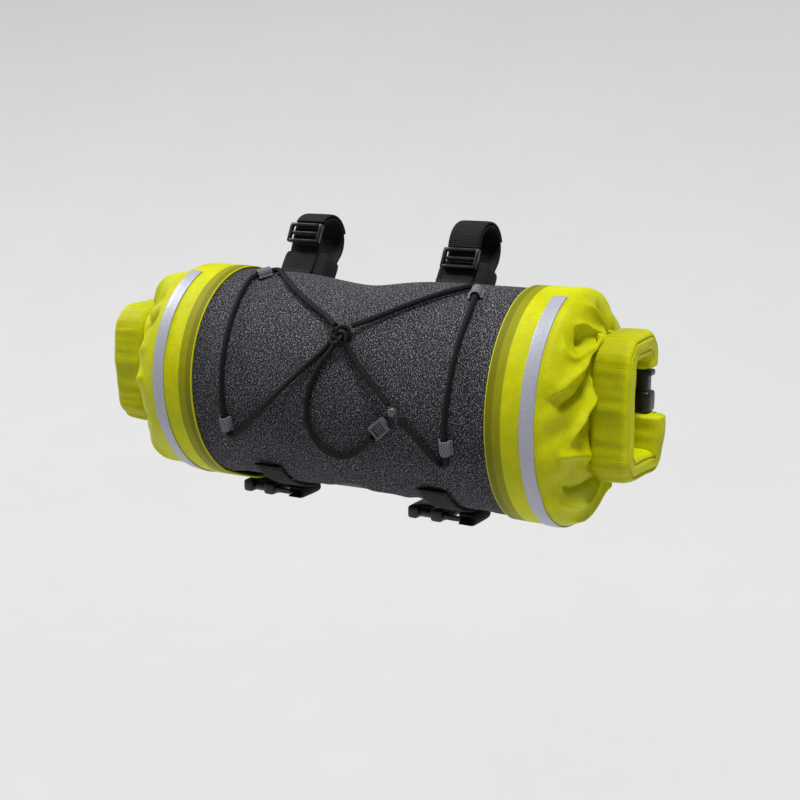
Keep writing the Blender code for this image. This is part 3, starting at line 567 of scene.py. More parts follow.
def grey_melange():
    paint, tree, shader, uv, place = new_material("grey melange cloth", 0.85, 0.12)
    warp = tree.noise(tree.stretched(uv, (1500.0, 800.0, 1.0)), 1.0, 1.5, 0.7)
    weft = tree.noise(tree.stretched(uv, (800.0, 1500.0, 1.0)), 1.0, 1.5, 0.7)
    fibre = tree.math("MAXIMUM", warp, weft)
    uneven = unevenness(tree, place, 0.03)
    ground = tree.mix(tree.ramp(fibre, 0.48, 0.60), (0.007, 0.007, 0.009, 1),
                      (0.055, 0.055, 0.062, 1))
    flecked = tree.mix(tree.ramp(fibre, 0.60, 0.68), ground, (0.42, 0.42, 0.47, 1))
    shade = tree.ramp(uneven, 0.35, 0.65, 0.0, 0.22)
    tree.put(shader.inputs["Base Color"], tree.mix(shade, flecked, (0.018, 0.018, 0.022, 1)))
    weave = woven(tree, uv, 0.0007)
    height = tree.math("ADD", weave, tree.math("MULTIPLY", fibre, 2.0))
    bump(tree, shader, height, 0.0002, 0.7)
    return paint


GREY = grey_melange()
print(GREY.name)

# %% [markdown]
# ## Yellow-green coated ripstop
#
# The ends are thin coated cloth with thicker threads every 1.7 mm. Where they are welded
# over the grey panel, the pressed band looks olive. The mesh carries two attributes: the
# distance to the seam, and how much painted shade darkens a place towards olive, on the
# closure's front face that turns away from the lamps.

# %% Yellow coated cloth


def yellow_ripstop():
    paint, tree, shader, uv, place = new_material("yellow-green coated cloth", 0.50, 0.13)
    grid = tree.group(RIPSTOP, 0, (("Vector", uv), ("Pitch", 0.0017), ("Line", 0.15)))
    weave = woven(tree, uv, 0.00036)
    uneven = unevenness(tree, place, 0.02)
    cloth = tree.mix(tree.ramp(uneven, 0.35, 0.65), (0.53, 0.55, 0.001, 1),
                     (0.63, 0.65, 0.002, 1))
    threads = tree.mix(tree.math("MULTIPLY", grid, 0.24), cloth, (0.22, 0.23, 0.002, 1))
    seam = tree.node("ShaderNodeAttribute", (), "Fac", attribute_name="seam")
    # The olive attribute is painted shade: it darkens the closures' front faces, which turn away
    # from the lamps.
    painted_shade = tree.node("ShaderNodeAttribute", (), "Fac", attribute_name="olive")
    band = tree.math("MULTIPLY", tree.ramp(seam, 0.0004, 0.0008),
                     tree.ramp(seam, 0.0108, 0.0122, 1.0, 0.0))
    two_tone = tree.math("MULTIPLY", band, tree.ramp(seam, 0.0050, 0.0058, 0.86, 0.66))
    darker = tree.math("MAXIMUM", two_tone, painted_shade)
    coloured = tree.mix(darker, threads, (0.13, 0.12, 0.004, 1))
    tree.put(shader.inputs["Base Color"], coloured)
    tree.put(shader.inputs["Roughness"], tree.ramp(uneven, 0.3, 0.7, 0.40, 0.54))
    height = tree.math("ADD", tree.math("MULTIPLY", grid, 1.2),
                       tree.math("MULTIPLY", weave, 0.35))
    bump(tree, shader, height, 0.00009, 0.8)
    return paint


YELLOW = yellow_ripstop()
print(YELLOW.name)

# %% [markdown]
# ## Black cloth and silver tape
#
# The back and underside are a black coated cloth with a plain weave. The reflective tape
# is a film of tiny glass beads: a grey with a little metal in it and a very fine sparkle.

# %% Black cloth and tape


def black_coated():
    paint, tree, shader, uv, place = new_material("black coated cloth", 0.55, 0.4)
    weave = woven(tree, uv, 0.0007)
    uneven = unevenness(tree, place, 0.02)
    tree.put(shader.inputs["Base Color"],
             tree.mix(uneven, (0.005, 0.005, 0.006, 1), (0.014, 0.014, 0.016, 1)))
    bump(tree, shader, weave, 0.00016, 0.8)
    return paint


def silver_beads():
    paint, tree, shader, uv, place = new_material("silver reflective tape", 0.42, 0.4)
    beads = tree.noise(place, 2600.0, 1.0)
    grid = tree.group(RIPSTOP, 0, (("Vector", uv), ("Pitch", 0.0017), ("Line", 0.2)))
    silver = tree.mix(tree.ramp(beads, 0.35, 0.65), (0.36, 0.37, 0.44, 1),
                      (0.54, 0.55, 0.63, 1))
    tree.put(shader.inputs["Base Color"],
             tree.mix(tree.math("MULTIPLY", grid, 0.22), silver, (0.24, 0.24, 0.30, 1)))
    shader.inputs["Metallic"].default_value = 0.25
    bump(tree, shader, tree.math("ADD", beads, grid), 0.00006, 0.6)
    return paint


BLACK_CLOTH = black_coated()
TAPE = silver_beads()
print(BLACK_CLOTH.name, TAPE.name)

# %% [markdown]
# ## Webbing, foam, cord and plastic
#
# Webbing has ribs across it every 1.4 mm with a fine twill between them. The elastic's
# sheath is a braid: two families of strands that wind round it in opposite directions.
# Plastic has the faint grain of its mould, and foam has small open pits.

# %% Webbing and elastic


def ribbed_webbing(name, dark, light, relief):
    paint, tree, shader, uv, place = new_material(name, 0.75, 0.15)
    across, along = tree.axes(uv)
    rib = tree.math("ABSOLUTE", tree.math("SINE", tree.math("MULTIPLY", along, 2250.0)))
    zigzag = tree.math("PINGPONG", across, 0.0022)
    slant = tree.math("ADD", tree.math("MULTIPLY", along, 3000.0),
                      tree.math("MULTIPLY", zigzag, 2600.0))
    height = tree.math("ADD", tree.math("MULTIPLY", rib, 0.7),
                       tree.math("MULTIPLY", tree.math("SINE", slant), 0.3))
    fuzz = tree.noise(place, 1200.0, 2.0, 0.6)
    # Painted highlight and shade: the colour follows the ribs' height, lighter on the crests and
    # darker in the grooves, and the fuzz adds the fibres' own uneven tone.
    tree.put(shader.inputs["Base Color"],
             tree.mix(tree.ramp(tree.math("ADD", height, fuzz), 0.5, 1.5), dark, light))
    bump(tree, shader, height, relief, 0.9)
    return paint


def braided_sheath():
    paint, tree, shader, uv, place = new_material("black elastic cord", 0.60, 0.20)
    around, along = tree.axes(uv)
    wound = tree.math("MULTIPLY", around, 4000.0)
    onward = tree.math("MULTIPLY", along, 2600.0)
    height = tree.math("MAXIMUM", tree.math("SINE", tree.math("ADD", wound, onward)),
                       tree.math("SINE", tree.math("SUBTRACT", wound, onward)))
    fuzz = tree.noise(place, 1800.0, 2.0, 0.6)
    # Painted highlight: the strands' crests are coloured lighter, by the braid's height times a
    # random fuzz.
    tree.put(shader.inputs["Base Color"],
             tree.mix(tree.ramp(tree.math("MULTIPLY", height, fuzz), 0.2, 0.7),
                      (0.002, 0.002, 0.0025, 1), (0.011, 0.011, 0.012, 1)))
    bump(tree, shader, height, 0.00022, 0.9)
    return paint


WEBBING_BLACK = ribbed_webbing("black webbing", (0.003, 0.003, 0.0035, 1),
                               (0.026, 0.026, 0.029, 1), 0.00045)
WEBBING_GREY = ribbed_webbing("grey webbing", (0.07, 0.075, 0.085, 1),
                              (0.24, 0.26, 0.29, 1), 0.00016)
ELASTIC = braided_sheath()


def webbing_piece(node, path, width=WEBBING_WIDTH, across=(1.0, 0.0, 0.0)):
    """A length of black webbing along a line, in place of one solid."""
    piece = strap_mesh(f"{node}_webbing", path, across, width, WEBBING, WEBBING_BLACK)
    return place_piece(piece, "webbing", node)


print(WEBBING_BLACK.name, WEBBING_GREY.name, ELASTIC.name)

# %% Foam, plastic and thread


def pitted_foam():
    paint, tree, shader, uv, place = new_material("black foam", 0.88, 0.2)
    cells = tree.node("ShaderNodeTexVoronoi", (("Vector", place), ("Scale", 900.0)))
    uneven = unevenness(tree, place, 0.01)
    tree.put(shader.inputs["Base Color"],
             tree.mix(uneven, (0.008, 0.008, 0.009, 1), (0.026, 0.026, 0.028, 1)))
    bump(tree, shader, cells, 0.0003, 0.8)
    return paint


def moulded(name, dark, light, roughness):
    paint, tree, shader, uv, place = new_material(name, roughness)
    grain = tree.noise(place, 2400.0, 2.0, 0.6)
    uneven = unevenness(tree, place, 0.008)
    tree.put(shader.inputs["Base Color"], tree.mix(tree.ramp(uneven, 0.35, 0.7), dark, light))
    tree.put(shader.inputs["Roughness"],
             tree.ramp(uneven, 0.3, 0.7, roughness - 0.06, roughness + 0.10))
    bump(tree, shader, grain, 0.00005, 0.5)
    return paint


def twisted_thread():
    paint, tree, shader, uv, place = new_material("black thread", 0.6, 0.4)
    twist = tree.noise(place, 3000.0, 1.0)
    tree.put(shader.inputs["Base Color"],
             tree.mix(twist, (0.012, 0.012, 0.013, 1), (0.055, 0.055, 0.058, 1)))
    bump(tree, shader, twist, 0.0001, 0.7)
    return paint


FOAM = pitted_foam()
PLASTIC = moulded("black plastic", (0.005, 0.005, 0.0055, 1), (0.012, 0.012, 0.013, 1), 0.36)
SMOKY = moulded("smoky translucent plastic", (0.06, 0.065, 0.07, 1), (0.17, 0.18, 0.19, 1), 0.24)
SMOKY.node_tree.nodes["Principled BSDF"].inputs["Transmission Weight"].default_value = 0.3
THREAD = twisted_thread()
print("materials", len(bpy.data.materials))

# %% [markdown]
# ## Blocks with soft edges
#
# Buckles are moulded blocks with rounded edges. A grid of cubes' faces is pushed out to a
# rounded box: each point goes to the nearest place of an inner box and then a radius out
# from it.

# %% Rounded boxes


def rounded_box(size, radius, centre=(0.0, 0.0, 0.0), cuts=6):
    """Points and quads of a box whose edges are rounded by a radius."""
    work = bmesh.new()
    bmesh.ops.create_cube(work, size=2.0)
    bmesh.ops.subdivide_edges(work, edges=work.edges[:], cuts=cuts, use_grid_fill=True)
    grid = bpy.data.meshes.new("grid on a cube")
    work.to_mesh(grid)
    work.free()
    points = np.empty(3 * len(grid.vertices))
    faces = np.empty(len(grid.loops), dtype=np.int32)
    grid.vertices.foreach_get("co", points)
    grid.loops.foreach_get("vertex_index", faces)
    points, faces = points.reshape(-1, 3), faces.reshape(-1, 4)
    bpy.data.meshes.remove(grid)
    half = np.asarray(size) / 2
    inner = half - radius
    spread = np.sign(points) * np.clip(np.abs(points) / 0.72, 0, 1)
    core = spread * inner
    bend = np.clip((np.abs(points) - 0.43) / 0.57, 0, 1)
    off = np.sign(points) * np.where(np.abs(points) >= 1 - 1e-6, 1.0, np.tan(bend * math.pi / 4))
    off = off / (np.linalg.norm(off, axis=1, keepdims=True) + 1e-12)
    return core + off * radius + np.asarray(centre), faces


def joined_blocks(name, parts, place, axes, material):
    """Several rounded boxes in one mesh, on three axes of their own."""
    starts = np.cumsum([0] + [len(points) for points, _ in parts])
    local = np.concatenate([points for points, _ in parts])
    faces = np.concatenate([quads + start for (_, quads), start in zip(parts, starts)])
    if np.linalg.det(axes) < 0:
        faces = faces[:, ::-1]
    corner_uv = local[faces.ravel()][:, :2]
    thing = link_mesh(name, np.asarray(place) + local @ axes, faces, corner_uv, material)
    thing.data.set_sharp_from_angle(angle=math.radians(60))
    return thing


def moulded_piece(node, parts, place, axes=np.eye(3)):
    """Black plastic blocks in one mesh, in place of one solid."""
    piece = joined_blocks(f"{node}_moulded", parts, place, axes, PLASTIC)
    return place_piece(piece, "black_plastic", node)


print("points of a rounded box", len(rounded_box((1, 1, 1), 0.2)[0]))

# %% [markdown]
# ## The elastic lacing
#
# A stretched cord runs from a knot in the middle to tabs at the four corners, and its
# spare length hangs as a loop. Each route repeats the construction's points: metres along
# the panel, degrees round the roll and, where it isn't the usual one, the height of the
# cord's middle over the cloth.

# %% Routes of the elastic
CORD = 0.004
CORD_LIFT = 0.0025
CORD_ROUTES = {
    "elastic_left": (
        (-0.0020, 38.5, 0.0055), (-0.0140, 44.5, 0.0030), (-0.0350, 53.5), (-0.0560, 64.5),
        (-0.0700, 74.0), (-0.0780, 80.2), (-0.0818, 82.6), (-0.0845, 82.9), (-0.0863, 81.0),
        (-0.0882, 78.7), (-0.0902, 76.3), (-0.0922, 73.9), (-0.0940, 71.7), (-0.0950, 68.5),
        (-0.0944, 63.0), (-0.0922, 50.0), (-0.0908, 35.0), (-0.0898, 18.0), (-0.0895, 3.0),
        (-0.0895, -8.0), (-0.0895, -13.0), (-0.0895, -18.0), (-0.0893, -21.8), (-0.0873, -24.4),
        (-0.0832, -23.6), (-0.0770, -19.6), (-0.0600, -9.0), (-0.0400, 4.0), (-0.0220, 16.0),
        (-0.0090, 25.0, 0.0028), (-0.0026, 29.8, 0.0050),
    ),
    "elastic_right": (
        (0.0105, 39.0, 0.0055), (0.0220, 45.0, 0.0030), (0.0400, 54.0), (0.0560, 63.0),
        (0.0690, 71.0), (0.0765, 76.2), (0.0805, 78.9), (0.0832, 79.2), (0.0847, 76.6),
        (0.0857, 73.9), (0.0868, 71.0), (0.0879, 68.1), (0.0890, 65.2), (0.0905, 59.5),
        (0.0918, 48.0), (0.0918, 34.0), (0.0914, 18.4), (0.0903, 4.5), (0.0890, -5.0),
        (0.0888, -10.5), (0.0888, -15.5), (0.0888, -20.5), (0.0868, -24.0), (0.0820, -23.0),
        (0.0745, -17.0), (0.0640, -8.5), (0.0558, -2.8, 0.0034),
    ),
    "elastic_return": (
        (0.0478, 3.6, 0.0034), (0.0400, 8.6, 0.0026), (0.0300, 15.0), (0.0200, 21.8),
        (0.0125, 27.4, 0.0032), (0.0095, 29.9, 0.0048),
    ),
    "hanging_loop": (
        (0.0015, 28.6, 0.0052), (-0.0025, 24.8, 0.0038), (-0.0085, 19.0, 0.0026),
        (-0.0135, 11.0), (-0.0167, 3.0), (-0.0180, -5.0), (-0.0168, -13.0), (-0.0132, -20.0),
        (-0.0070, -25.0), (0.0010, -27.6), (0.0095, -27.2), (0.0175, -24.4),
        (0.0250, -20.0, 0.0026), (0.0305, -16.0, 0.0030), (0.0343, -13.2, 0.0034),
    ),
}


def route_line(route):
    """A smooth curve through a route's rows, laid on the roll."""
    table = np.array([(*row, CORD_LIFT)[:3] for row in route])
    fine = np.linspace(0, 1, 400)
    along, angle, lift = (smooth_rows(table[:, column], fine) for column in range(3))
    return soften(resample(roll_surface(along, angle, lift), 0.0005), 12)


cord_lines = {node: route_line(route) for node, route in CORD_ROUTES.items()}
for node, line in cord_lines.items():
    piece = tube_mesh(f"{node}_braid", line, CORD / 2, ELASTIC)
    place_piece(piece, "elastic", node)

# %% [markdown]
# ## Knot, bead and cord lock
#
# The strands cross in a knot of the same cord. One closed curve that winds over and under
# itself, three times round with four lobes, gives it. The bead and the ribbed cord lock
# are smoky plastic.

# %% Knot, bead and cord lock
KNOT_PLACE = (0.0036, 33.8)
KNOT_TURN = math.radians(45.0)
KNOT_RING = 0.0046
KNOT_WIND = 0.0027
KNOT_LIFT = 0.0050
KNOT_CORD = 0.0026
BEAD_PLACE = (0.0510, 0.5)
BEAD_SIZE = 0.0064
BEAD_ROUND = 2 / 2.6
BEAD_UV_RADIUS = 0.003
CORD_LOCK = (0.0135, 0.0108, 0.0060)
CORD_LOCK_PLACE = (0.0415, -8.0)
CORD_LOCK_TURN = math.radians(40.0)
CORD_LOCK_LIFT = 0.0006


def on_roll(place_angle, turn=0.0):
    """Origin, length direction, cross direction and normal at a place, turned in its plane."""
    place, normal, lengthways, upward = surface_frame(*place_angle)
    axis = lengthways * math.cos(turn) + upward * math.sin(turn)
    return place, axis, np.cross(normal, axis), normal


def knot_line():
    """r = R + q cos(4 t / 3) and z = q sin(4 t / 3) over three turns: a closed knot."""
    place, axis, across, normal = on_roll(KNOT_PLACE, KNOT_TURN)
    t = np.linspace(0.0, 6 * math.pi, 600)
    radius = KNOT_RING + KNOT_WIND * np.cos(4 * t / 3)
    x, y = radius * np.cos(t), radius * np.sin(t)
    z = KNOT_LIFT + 0.8 * KNOT_WIND * np.sin(4 * t / 3)
    return place + x[:, None] * axis + y[:, None] * across + z[:, None] * normal


def lock_parts():
    """A frame of four bars round a sunken plate that carries three ribs."""
    long_side, wide, high = CORD_LOCK
    rail = 0.0022
    parts = [rounded_box((long_side - 0.002, wide - 0.002, high * 0.55), 0.0012)]
    for end in (-1, 1):
        parts.append(rounded_box((rail, wide, high), 0.0010, (end * (long_side - rail) / 2, 0, 0)))
        parts.append(rounded_box((long_side, rail, high), 0.0010, (0, end * (wide - rail) / 2, 0)))
    for step in (-1, 0, 1):
        parts.append(rounded_box((0.0009, wide * 0.52, high * 0.86), 0.0004,
                                 (step * 0.0024, 0, 0)))
    return parts


def bead_mesh():
    """A ball: at each share of its diameter a rounded section as wide as a circle's chord."""
    spot, axis, across, normal = on_roll(BEAD_PLACE, CORD_LOCK_TURN)
    start = spot - axis * BEAD_SIZE / 2 + normal * (BEAD_SIZE / 2 + GAP)
    share = np.linspace(0, 1, 49)[:, None]
    chord = BEAD_SIZE / 2 * np.sqrt(np.clip(1 - (2 * share - 1) ** 2, 0.004, 1))
    x, y = rounded_ring(28, BEAD_ROUND, BEAD_ROUND)
    points = ((start + axis * (share * BEAD_SIZE))[:, None, :]
              + across * (chord * x[:-1])[:, :, None] + normal * (chord * y[:-1])[:, :, None])
    around = np.linspace(0, 2 * math.pi, len(x)) * BEAD_UV_RADIUS
    uv = np.stack(np.broadcast_arrays(around, share * BEAD_SIZE), axis=-1)
    return closed_tube("bead_smoky", points, uv, SMOKY)


knot = place_piece(tube_mesh("centre_knot_cord", knot_line(), KNOT_CORD / 2, ELASTIC),
                   "elastic", "centre_knot")
spot, axis, across, normal = on_roll(CORD_LOCK_PLACE, CORD_LOCK_TURN)
centre = spot + normal * (CORD_LOCK[2] / 2 + CORD_LOCK_LIFT)
lock = place_piece(joined_blocks("cord_lock_ribbed", lock_parts(), centre,
                                 np.array((axis, across, normal)), SMOKY),
                   "clear_plastic", "cord_lock")
bead = place_piece(bead_mesh(), "clear_plastic", "bead")
print("knot, bead and lock placed")

CORD_ENDS = {"elastic_left": ("knot", "taut", []), "elastic_right": ("fitting", "taut", [bead]),
             "elastic_return": ("knot", "taut", [knot]),
             "hanging_loop": ("fitting", "hanging", [lock])}
for node, (far_end, lay, pieces) in CORD_ENDS.items():
    line = cord_lines[node]
print("cords declared", len(CORD_ENDS))

# %% [markdown]
# ## The grey panel
#
# One cloth covers the front and the top. It ends below in a free wavy edge, and it is
# pulled a little by the tabs at its corners. The relief goes only inwards, so the cords
# that lie on the cloth stay clear of it.

# %% Grey panel
PANEL_EDGE = {
    "along": (-1.12, -0.98, -0.75, -0.34, 0.00, 0.14, 0.29, 0.43, 0.62, 0.75, 1.12),
    "angle": (-70.0, -66.0, -58.0, -64.0, -55.0, -59.0, -66.0, -61.0, -68.0, -76.0, -78.0),
}
PANEL_BACK_ANGLE = 152.0
PANEL_UNDERLAP = 7.0
CLOTH_HALF = PANEL_LENGTH / 2 + WELD_OVERLAP
WELD_FADE = (CLOTH_HALF - 0.018, CLOTH_HALF - 0.011)
HEM_PLACE = 0.006
HEM_WIDTH = 0.0008
HEM_DEPTH = 0.0004
FLUTTER = 0.0012
PANEL_FOLDS = {
    "along": (-0.066, 0.060, -0.050, 0.045, -0.010, 0.094, -0.098, 0.020),
    "angle": (-40.0, -46.0, 20.0, 40.0, 60.0, -38.0, 40.0, -20.0),
    "length": (0.030, 0.035, 0.040, 0.030, 0.050, 0.040, 0.050, 0.060),
    "width": (0.009, 0.010, 0.012, 0.010, 0.016, 0.008, 0.008, 0.014),
    "slant": (35.0, -25.0, -48.0, 50.0, 5.0, 80.0, 88.0, 20.0),
    "depth": (0.0010, 0.0011, 0.0008, 0.0008, 0.0009, 0.0008, 0.0008, 0.0007),
}


def panel_edge(along):
    """Angle of the panel's free lower edge: a smooth curve through its table."""
    share = np.asarray(PANEL_EDGE["along"]) * PANEL_LENGTH / 2
    fine = np.linspace(0, 1, 300)
    places = smooth_rows(share, fine)
    angles = smooth_rows(PANEL_EDGE["angle"], fine)
    return np.interp(along, places, angles)


def soft_folds(table, along, around, radius):
    """Sum of Gaussian valleys: depth exp(-(forward / length)^2 - (sideways / width)^2)."""
    depth = np.zeros(np.broadcast(along, around).shape)
    for row in range(len(table["along"])):
        along_off = along - table["along"][row]
        around_off = np.radians(around - table["angle"][row]) * radius
        slant = math.radians(table["slant"][row])
        forward = along_off * math.cos(slant) + around_off * math.sin(slant)
        sideways = around_off * math.cos(slant) - along_off * math.sin(slant)
        press = np.exp(-(forward / table["length"][row]) ** 2
                       - (sideways / table["width"][row]) ** 2)
        depth = depth + table["depth"][row] * press
    return depth


def panel_points(columns, rows):
    """The panel from its free edge up over the top and down to its back edge."""
    along = np.linspace(-CLOTH_HALF, CLOTH_HALF, columns)[:, None]
    share = np.linspace(0, 1, rows)[None, :]
    low = panel_edge(along)
    angle = low + (PANEL_BACK_ANGLE - low) * share
    along = np.broadcast_to(along, angle.shape)
    clear = 1 - eased(np.abs(along), *WELD_FADE)
    press = soft_folds(PANEL_FOLDS, along, angle, ROLL_HEIGHT / 2)
    press = press + 0.0005 * (1 + waves(along / CLOTH_HALF, 3.0, 4) * waves(share, 2.5, 5))
    walked = np.radians(angle - low) * ROLL_HEIGHT / 2
    hem = HEM_DEPTH * np.exp(-((walked - HEM_PLACE) / HEM_WIDTH) ** 2)
    flutter = FLUTTER * waves(along / CLOTH_HALF, 4.0, 6) * (1 - eased(walked, 0.0, 0.02))
    return roll_surface(along, angle, -press * clear - hem - flutter * clear)


def declare_panel(points):
    """The cut: its width with both welds, the longest run round, and the sum of the cells."""
    lengthways, around = np.diff(points, axis=0), np.diff(points, axis=1)
    width = 2 * CLOTH_HALF
    length = np.linalg.norm(around, axis=-1).sum(axis=1).max()
    area = np.linalg.norm(np.cross(lengthways[:, :-1], around[:-1]), axis=-1).sum()
    return round(width, 3), round(length, 3), round(area, 4)


panel_grid = panel_points(180, 240)
panel = sheet_mesh("front_panel_cloth", panel_grid, GREY, CLOTH)
place_piece(panel, "grey_cloth", "front_panel")
print("grey panel's cut", declare_panel(panel_grid))
print("grey panel points", len(panel.data.vertices))

# %% [markdown]
# ## The black panel
#
# Black coated cloth closes the roll behind and below, lapped under the grey. Between its
# two straps the load pulls it into long shallow folds along the roll.

# %% Black panel


def base_points(columns, rows):
    """From under the grey's back edge, down behind and forward under its front edge."""
    along = np.linspace(-CLOTH_HALF, CLOTH_HALF, columns)[:, None]
    low = PANEL_BACK_ANGLE - PANEL_UNDERLAP
    high = panel_edge(along) + PANEL_UNDERLAP + 360.0
    share = np.linspace(0, 1, rows)[None, :]
    angle = low + (high - low) * share
    along = np.broadcast_to(along, angle.shape)
    clear = 1 - eased(np.abs(along), *WELD_FADE)
    middle = np.clip(4 * share * (1 - share), 0, 1)
    press = 0.0011 * (1 + waves(share + 0.15 * along / CLOTH_HALF, 5.0, 8)) * middle
    press = press + 0.0006 * (1 + waves(along / CLOTH_HALF + share, 3.0, 9)) * middle
    return roll_surface(along, angle, -(CLOTH + 2 * GAP) - press * clear)


base_grid = base_points(150, 150)
base = sheet_mesh("base_panel_cloth", base_grid, BLACK_CLOTH, CLOTH)
place_piece(base, "black_cloth", "base_panel")
print("black panel's cut", declare_panel(base_grid))
print("black panel points", len(base.data.vertices))

# %% [markdown]
# ## The closure's line
#
# Each end is a round tube that is pinched flat, rolled down and bent back into a C. Seen
# along the bag, the C runs up the front, turns back at the top and down behind, and the
# same way round below.

# %% Line of the closures
END_REACH = {"left": 0.086, "right": 0.051}
CLOSURE_WIDTH = 0.027
CLOSURE_THICK = 0.018
CLOSURE_HEIGHT = {"left": 0.076, "right": 0.081}
CLOSURE_DEPTH = 0.044
CLOSURE_BEND = 0.013
CLOSURE_AHEAD = 0.015
CLOSURE_RAISE = {"left": -0.001, "right": 0.004}
TIP_BELOW = 0.008
TIP_ABOVE = 0.022


def closure_line(side, share):
    """The running sum of a heading that turns through two quarter bends, both ways.

    A share of -1 is the lower tip and 1 is the upper one.
    """
    share = np.asarray(share, dtype=float)
    rise = CLOSURE_HEIGHT[side] / 2 - CLOSURE_BEND
    bend = CLOSURE_BEND * math.pi / 2
    first = rise
    second = rise + bend + CLOSURE_DEPTH - 2 * CLOSURE_BEND
    fall_above = rise - TIP_ABOVE
    fall_below = rise - TIP_BELOW
    total = np.where(share < 0, second + bend + fall_below, second + bend + fall_above)
    walked = np.abs(share) * total
    fine = np.linspace(0, second + bend + max(fall_above, fall_below), 800)
    heading = (np.clip((fine - first) / bend, 0, 1)
               + np.clip((fine - second) / bend, 0, 1)) * math.pi / 2
    step = fine[1]
    back = np.concatenate(([0], np.cumsum(np.sin((heading[1:] + heading[:-1]) / 2) * step)))
    rising = np.concatenate(([0], np.cumsum(np.cos((heading[1:] + heading[:-1]) / 2) * step)))
    half = np.where(share < 0, -1.0, 1.0)
    y = np.interp(walked, fine, back) - CLOSURE_AHEAD
    z = half * np.interp(walked, fine, rising) + CLOSURE_RAISE[side]
    turn = np.interp(walked, fine, heading)
    return y, z, -np.cos(turn), half * np.sin(turn)


tips = closure_line("right", np.array((-1.0, 1.0)))
print("tips of the right closure at heights", tips[1].round(4))

# %% [markdown]
# ## The yellow ends
#
# A table of sections turns the ellipse into the flat mouth, and a table of broad folds
# presses it. Coated cloth also gathers into sharp folds. A cloth simulation would gather
# it by itself, but with its folds in other places than the real bag's. So each sharp fold
# is a line drawn over the end, and the cloth rises or sinks towards it.

# %% Sections and folds of the ends
MOUTH_THICK = 0.008
MOUTH_EDGE = 0.25
BULGE_EDGE = 0.82
FOLDS_FROM = 0.30
FOLDS_FULL = 0.47
END_SECTIONS = {
    "left": {
        "reach": (0.00, 0.16, 0.30, 0.42, 0.56, 0.72, 0.85, 0.92, 0.96, 0.985, 1.00),
        "above": (1.00, 1.002, 1.005, 1.00, 0.94, 0.88, 0.82, 0.76, 0.70, 0.66, 0.60),
        "below": (1.00, 1.002, 0.995, 0.98, 0.955, 0.93, 0.90, 0.86, 0.80, 0.74, 0.68),
        "pinch": (0.00, 0.00, 0.00, 0.00, 0.00, 0.01, 0.05, 0.16, 0.38, 0.70, 1.00),
        "bulge": (0.00, 0.00, 0.00, 0.00, -0.04, -0.13, -0.20, -0.21, -0.16, -0.07, 0.00),
    },
    "right": {
        "reach": (0.00, 0.26, 0.45, 0.62, 0.76, 0.86, 0.91, 0.94, 0.965, 0.985, 1.00),
        "above": (1.00, 1.003, 1.005, 1.01, 1.00, 0.96, 0.90, 0.83, 0.76, 0.70, 0.64),
        "below": (1.00, 1.003, 1.00, 1.00, 0.97, 0.90, 0.84, 0.79, 0.74, 0.70, 0.66),
        "pinch": (0.00, 0.00, 0.00, 0.00, 0.01, 0.05, 0.13, 0.28, 0.50, 0.76, 1.00),
        "bulge": (0.00, 0.00, 0.00, 0.00, 0.00, 0.01, 0.03, 0.05, 0.06, 0.04, 0.00),
    },
}
END_FOLDS = {
    "left": {
        "along": (0.93, 0.80, 0.90, 0.88, 0.70),
        "angle": (28.0, 62.0, -30.0, 2.0, 120.0),
        "length": (0.16, 0.20, 0.18, 0.14, 0.22),
        "width": (0.055, 0.07, 0.06, 0.05, 0.08),
        "slant": (70.0, 35.0, -60.0, 85.0, -30.0),
        "depth": (0.030, 0.028, 0.026, -0.020, 0.030),
    },
    "right": {
        "along": (0.98, 0.98, 0.84, 1.02, 0.86, 0.94),
        "angle": (46.0, 24.0, 16.0, 0.0, -33.0, 122.0),
        "length": (0.06, 0.17, 0.16, 0.13, 0.15, 0.20),
        "width": (0.045, 0.045, 0.05, 0.045, 0.05, 0.08),
        "slant": (40.0, 42.0, 40.0, 35.0, 22.0, -30.0),
        "depth": (0.042, -0.022, 0.034, 0.046, 0.036, 0.030),
    },
}


def fold_depth(side, along, angle):
    """The solids' broad folds, with their sizes as shares of the roll's height."""
    table = END_FOLDS[side]
    scaled = {name: np.asarray(table[name]) for name in table}
    scaled["along"] = scaled["along"] * END_REACH[side]
    for name in ("length", "width", "depth"):
        scaled[name] = scaled[name] * ROLL_HEIGHT
    return soft_folds(scaled, along, angle, ROLL_HEIGHT / 2)


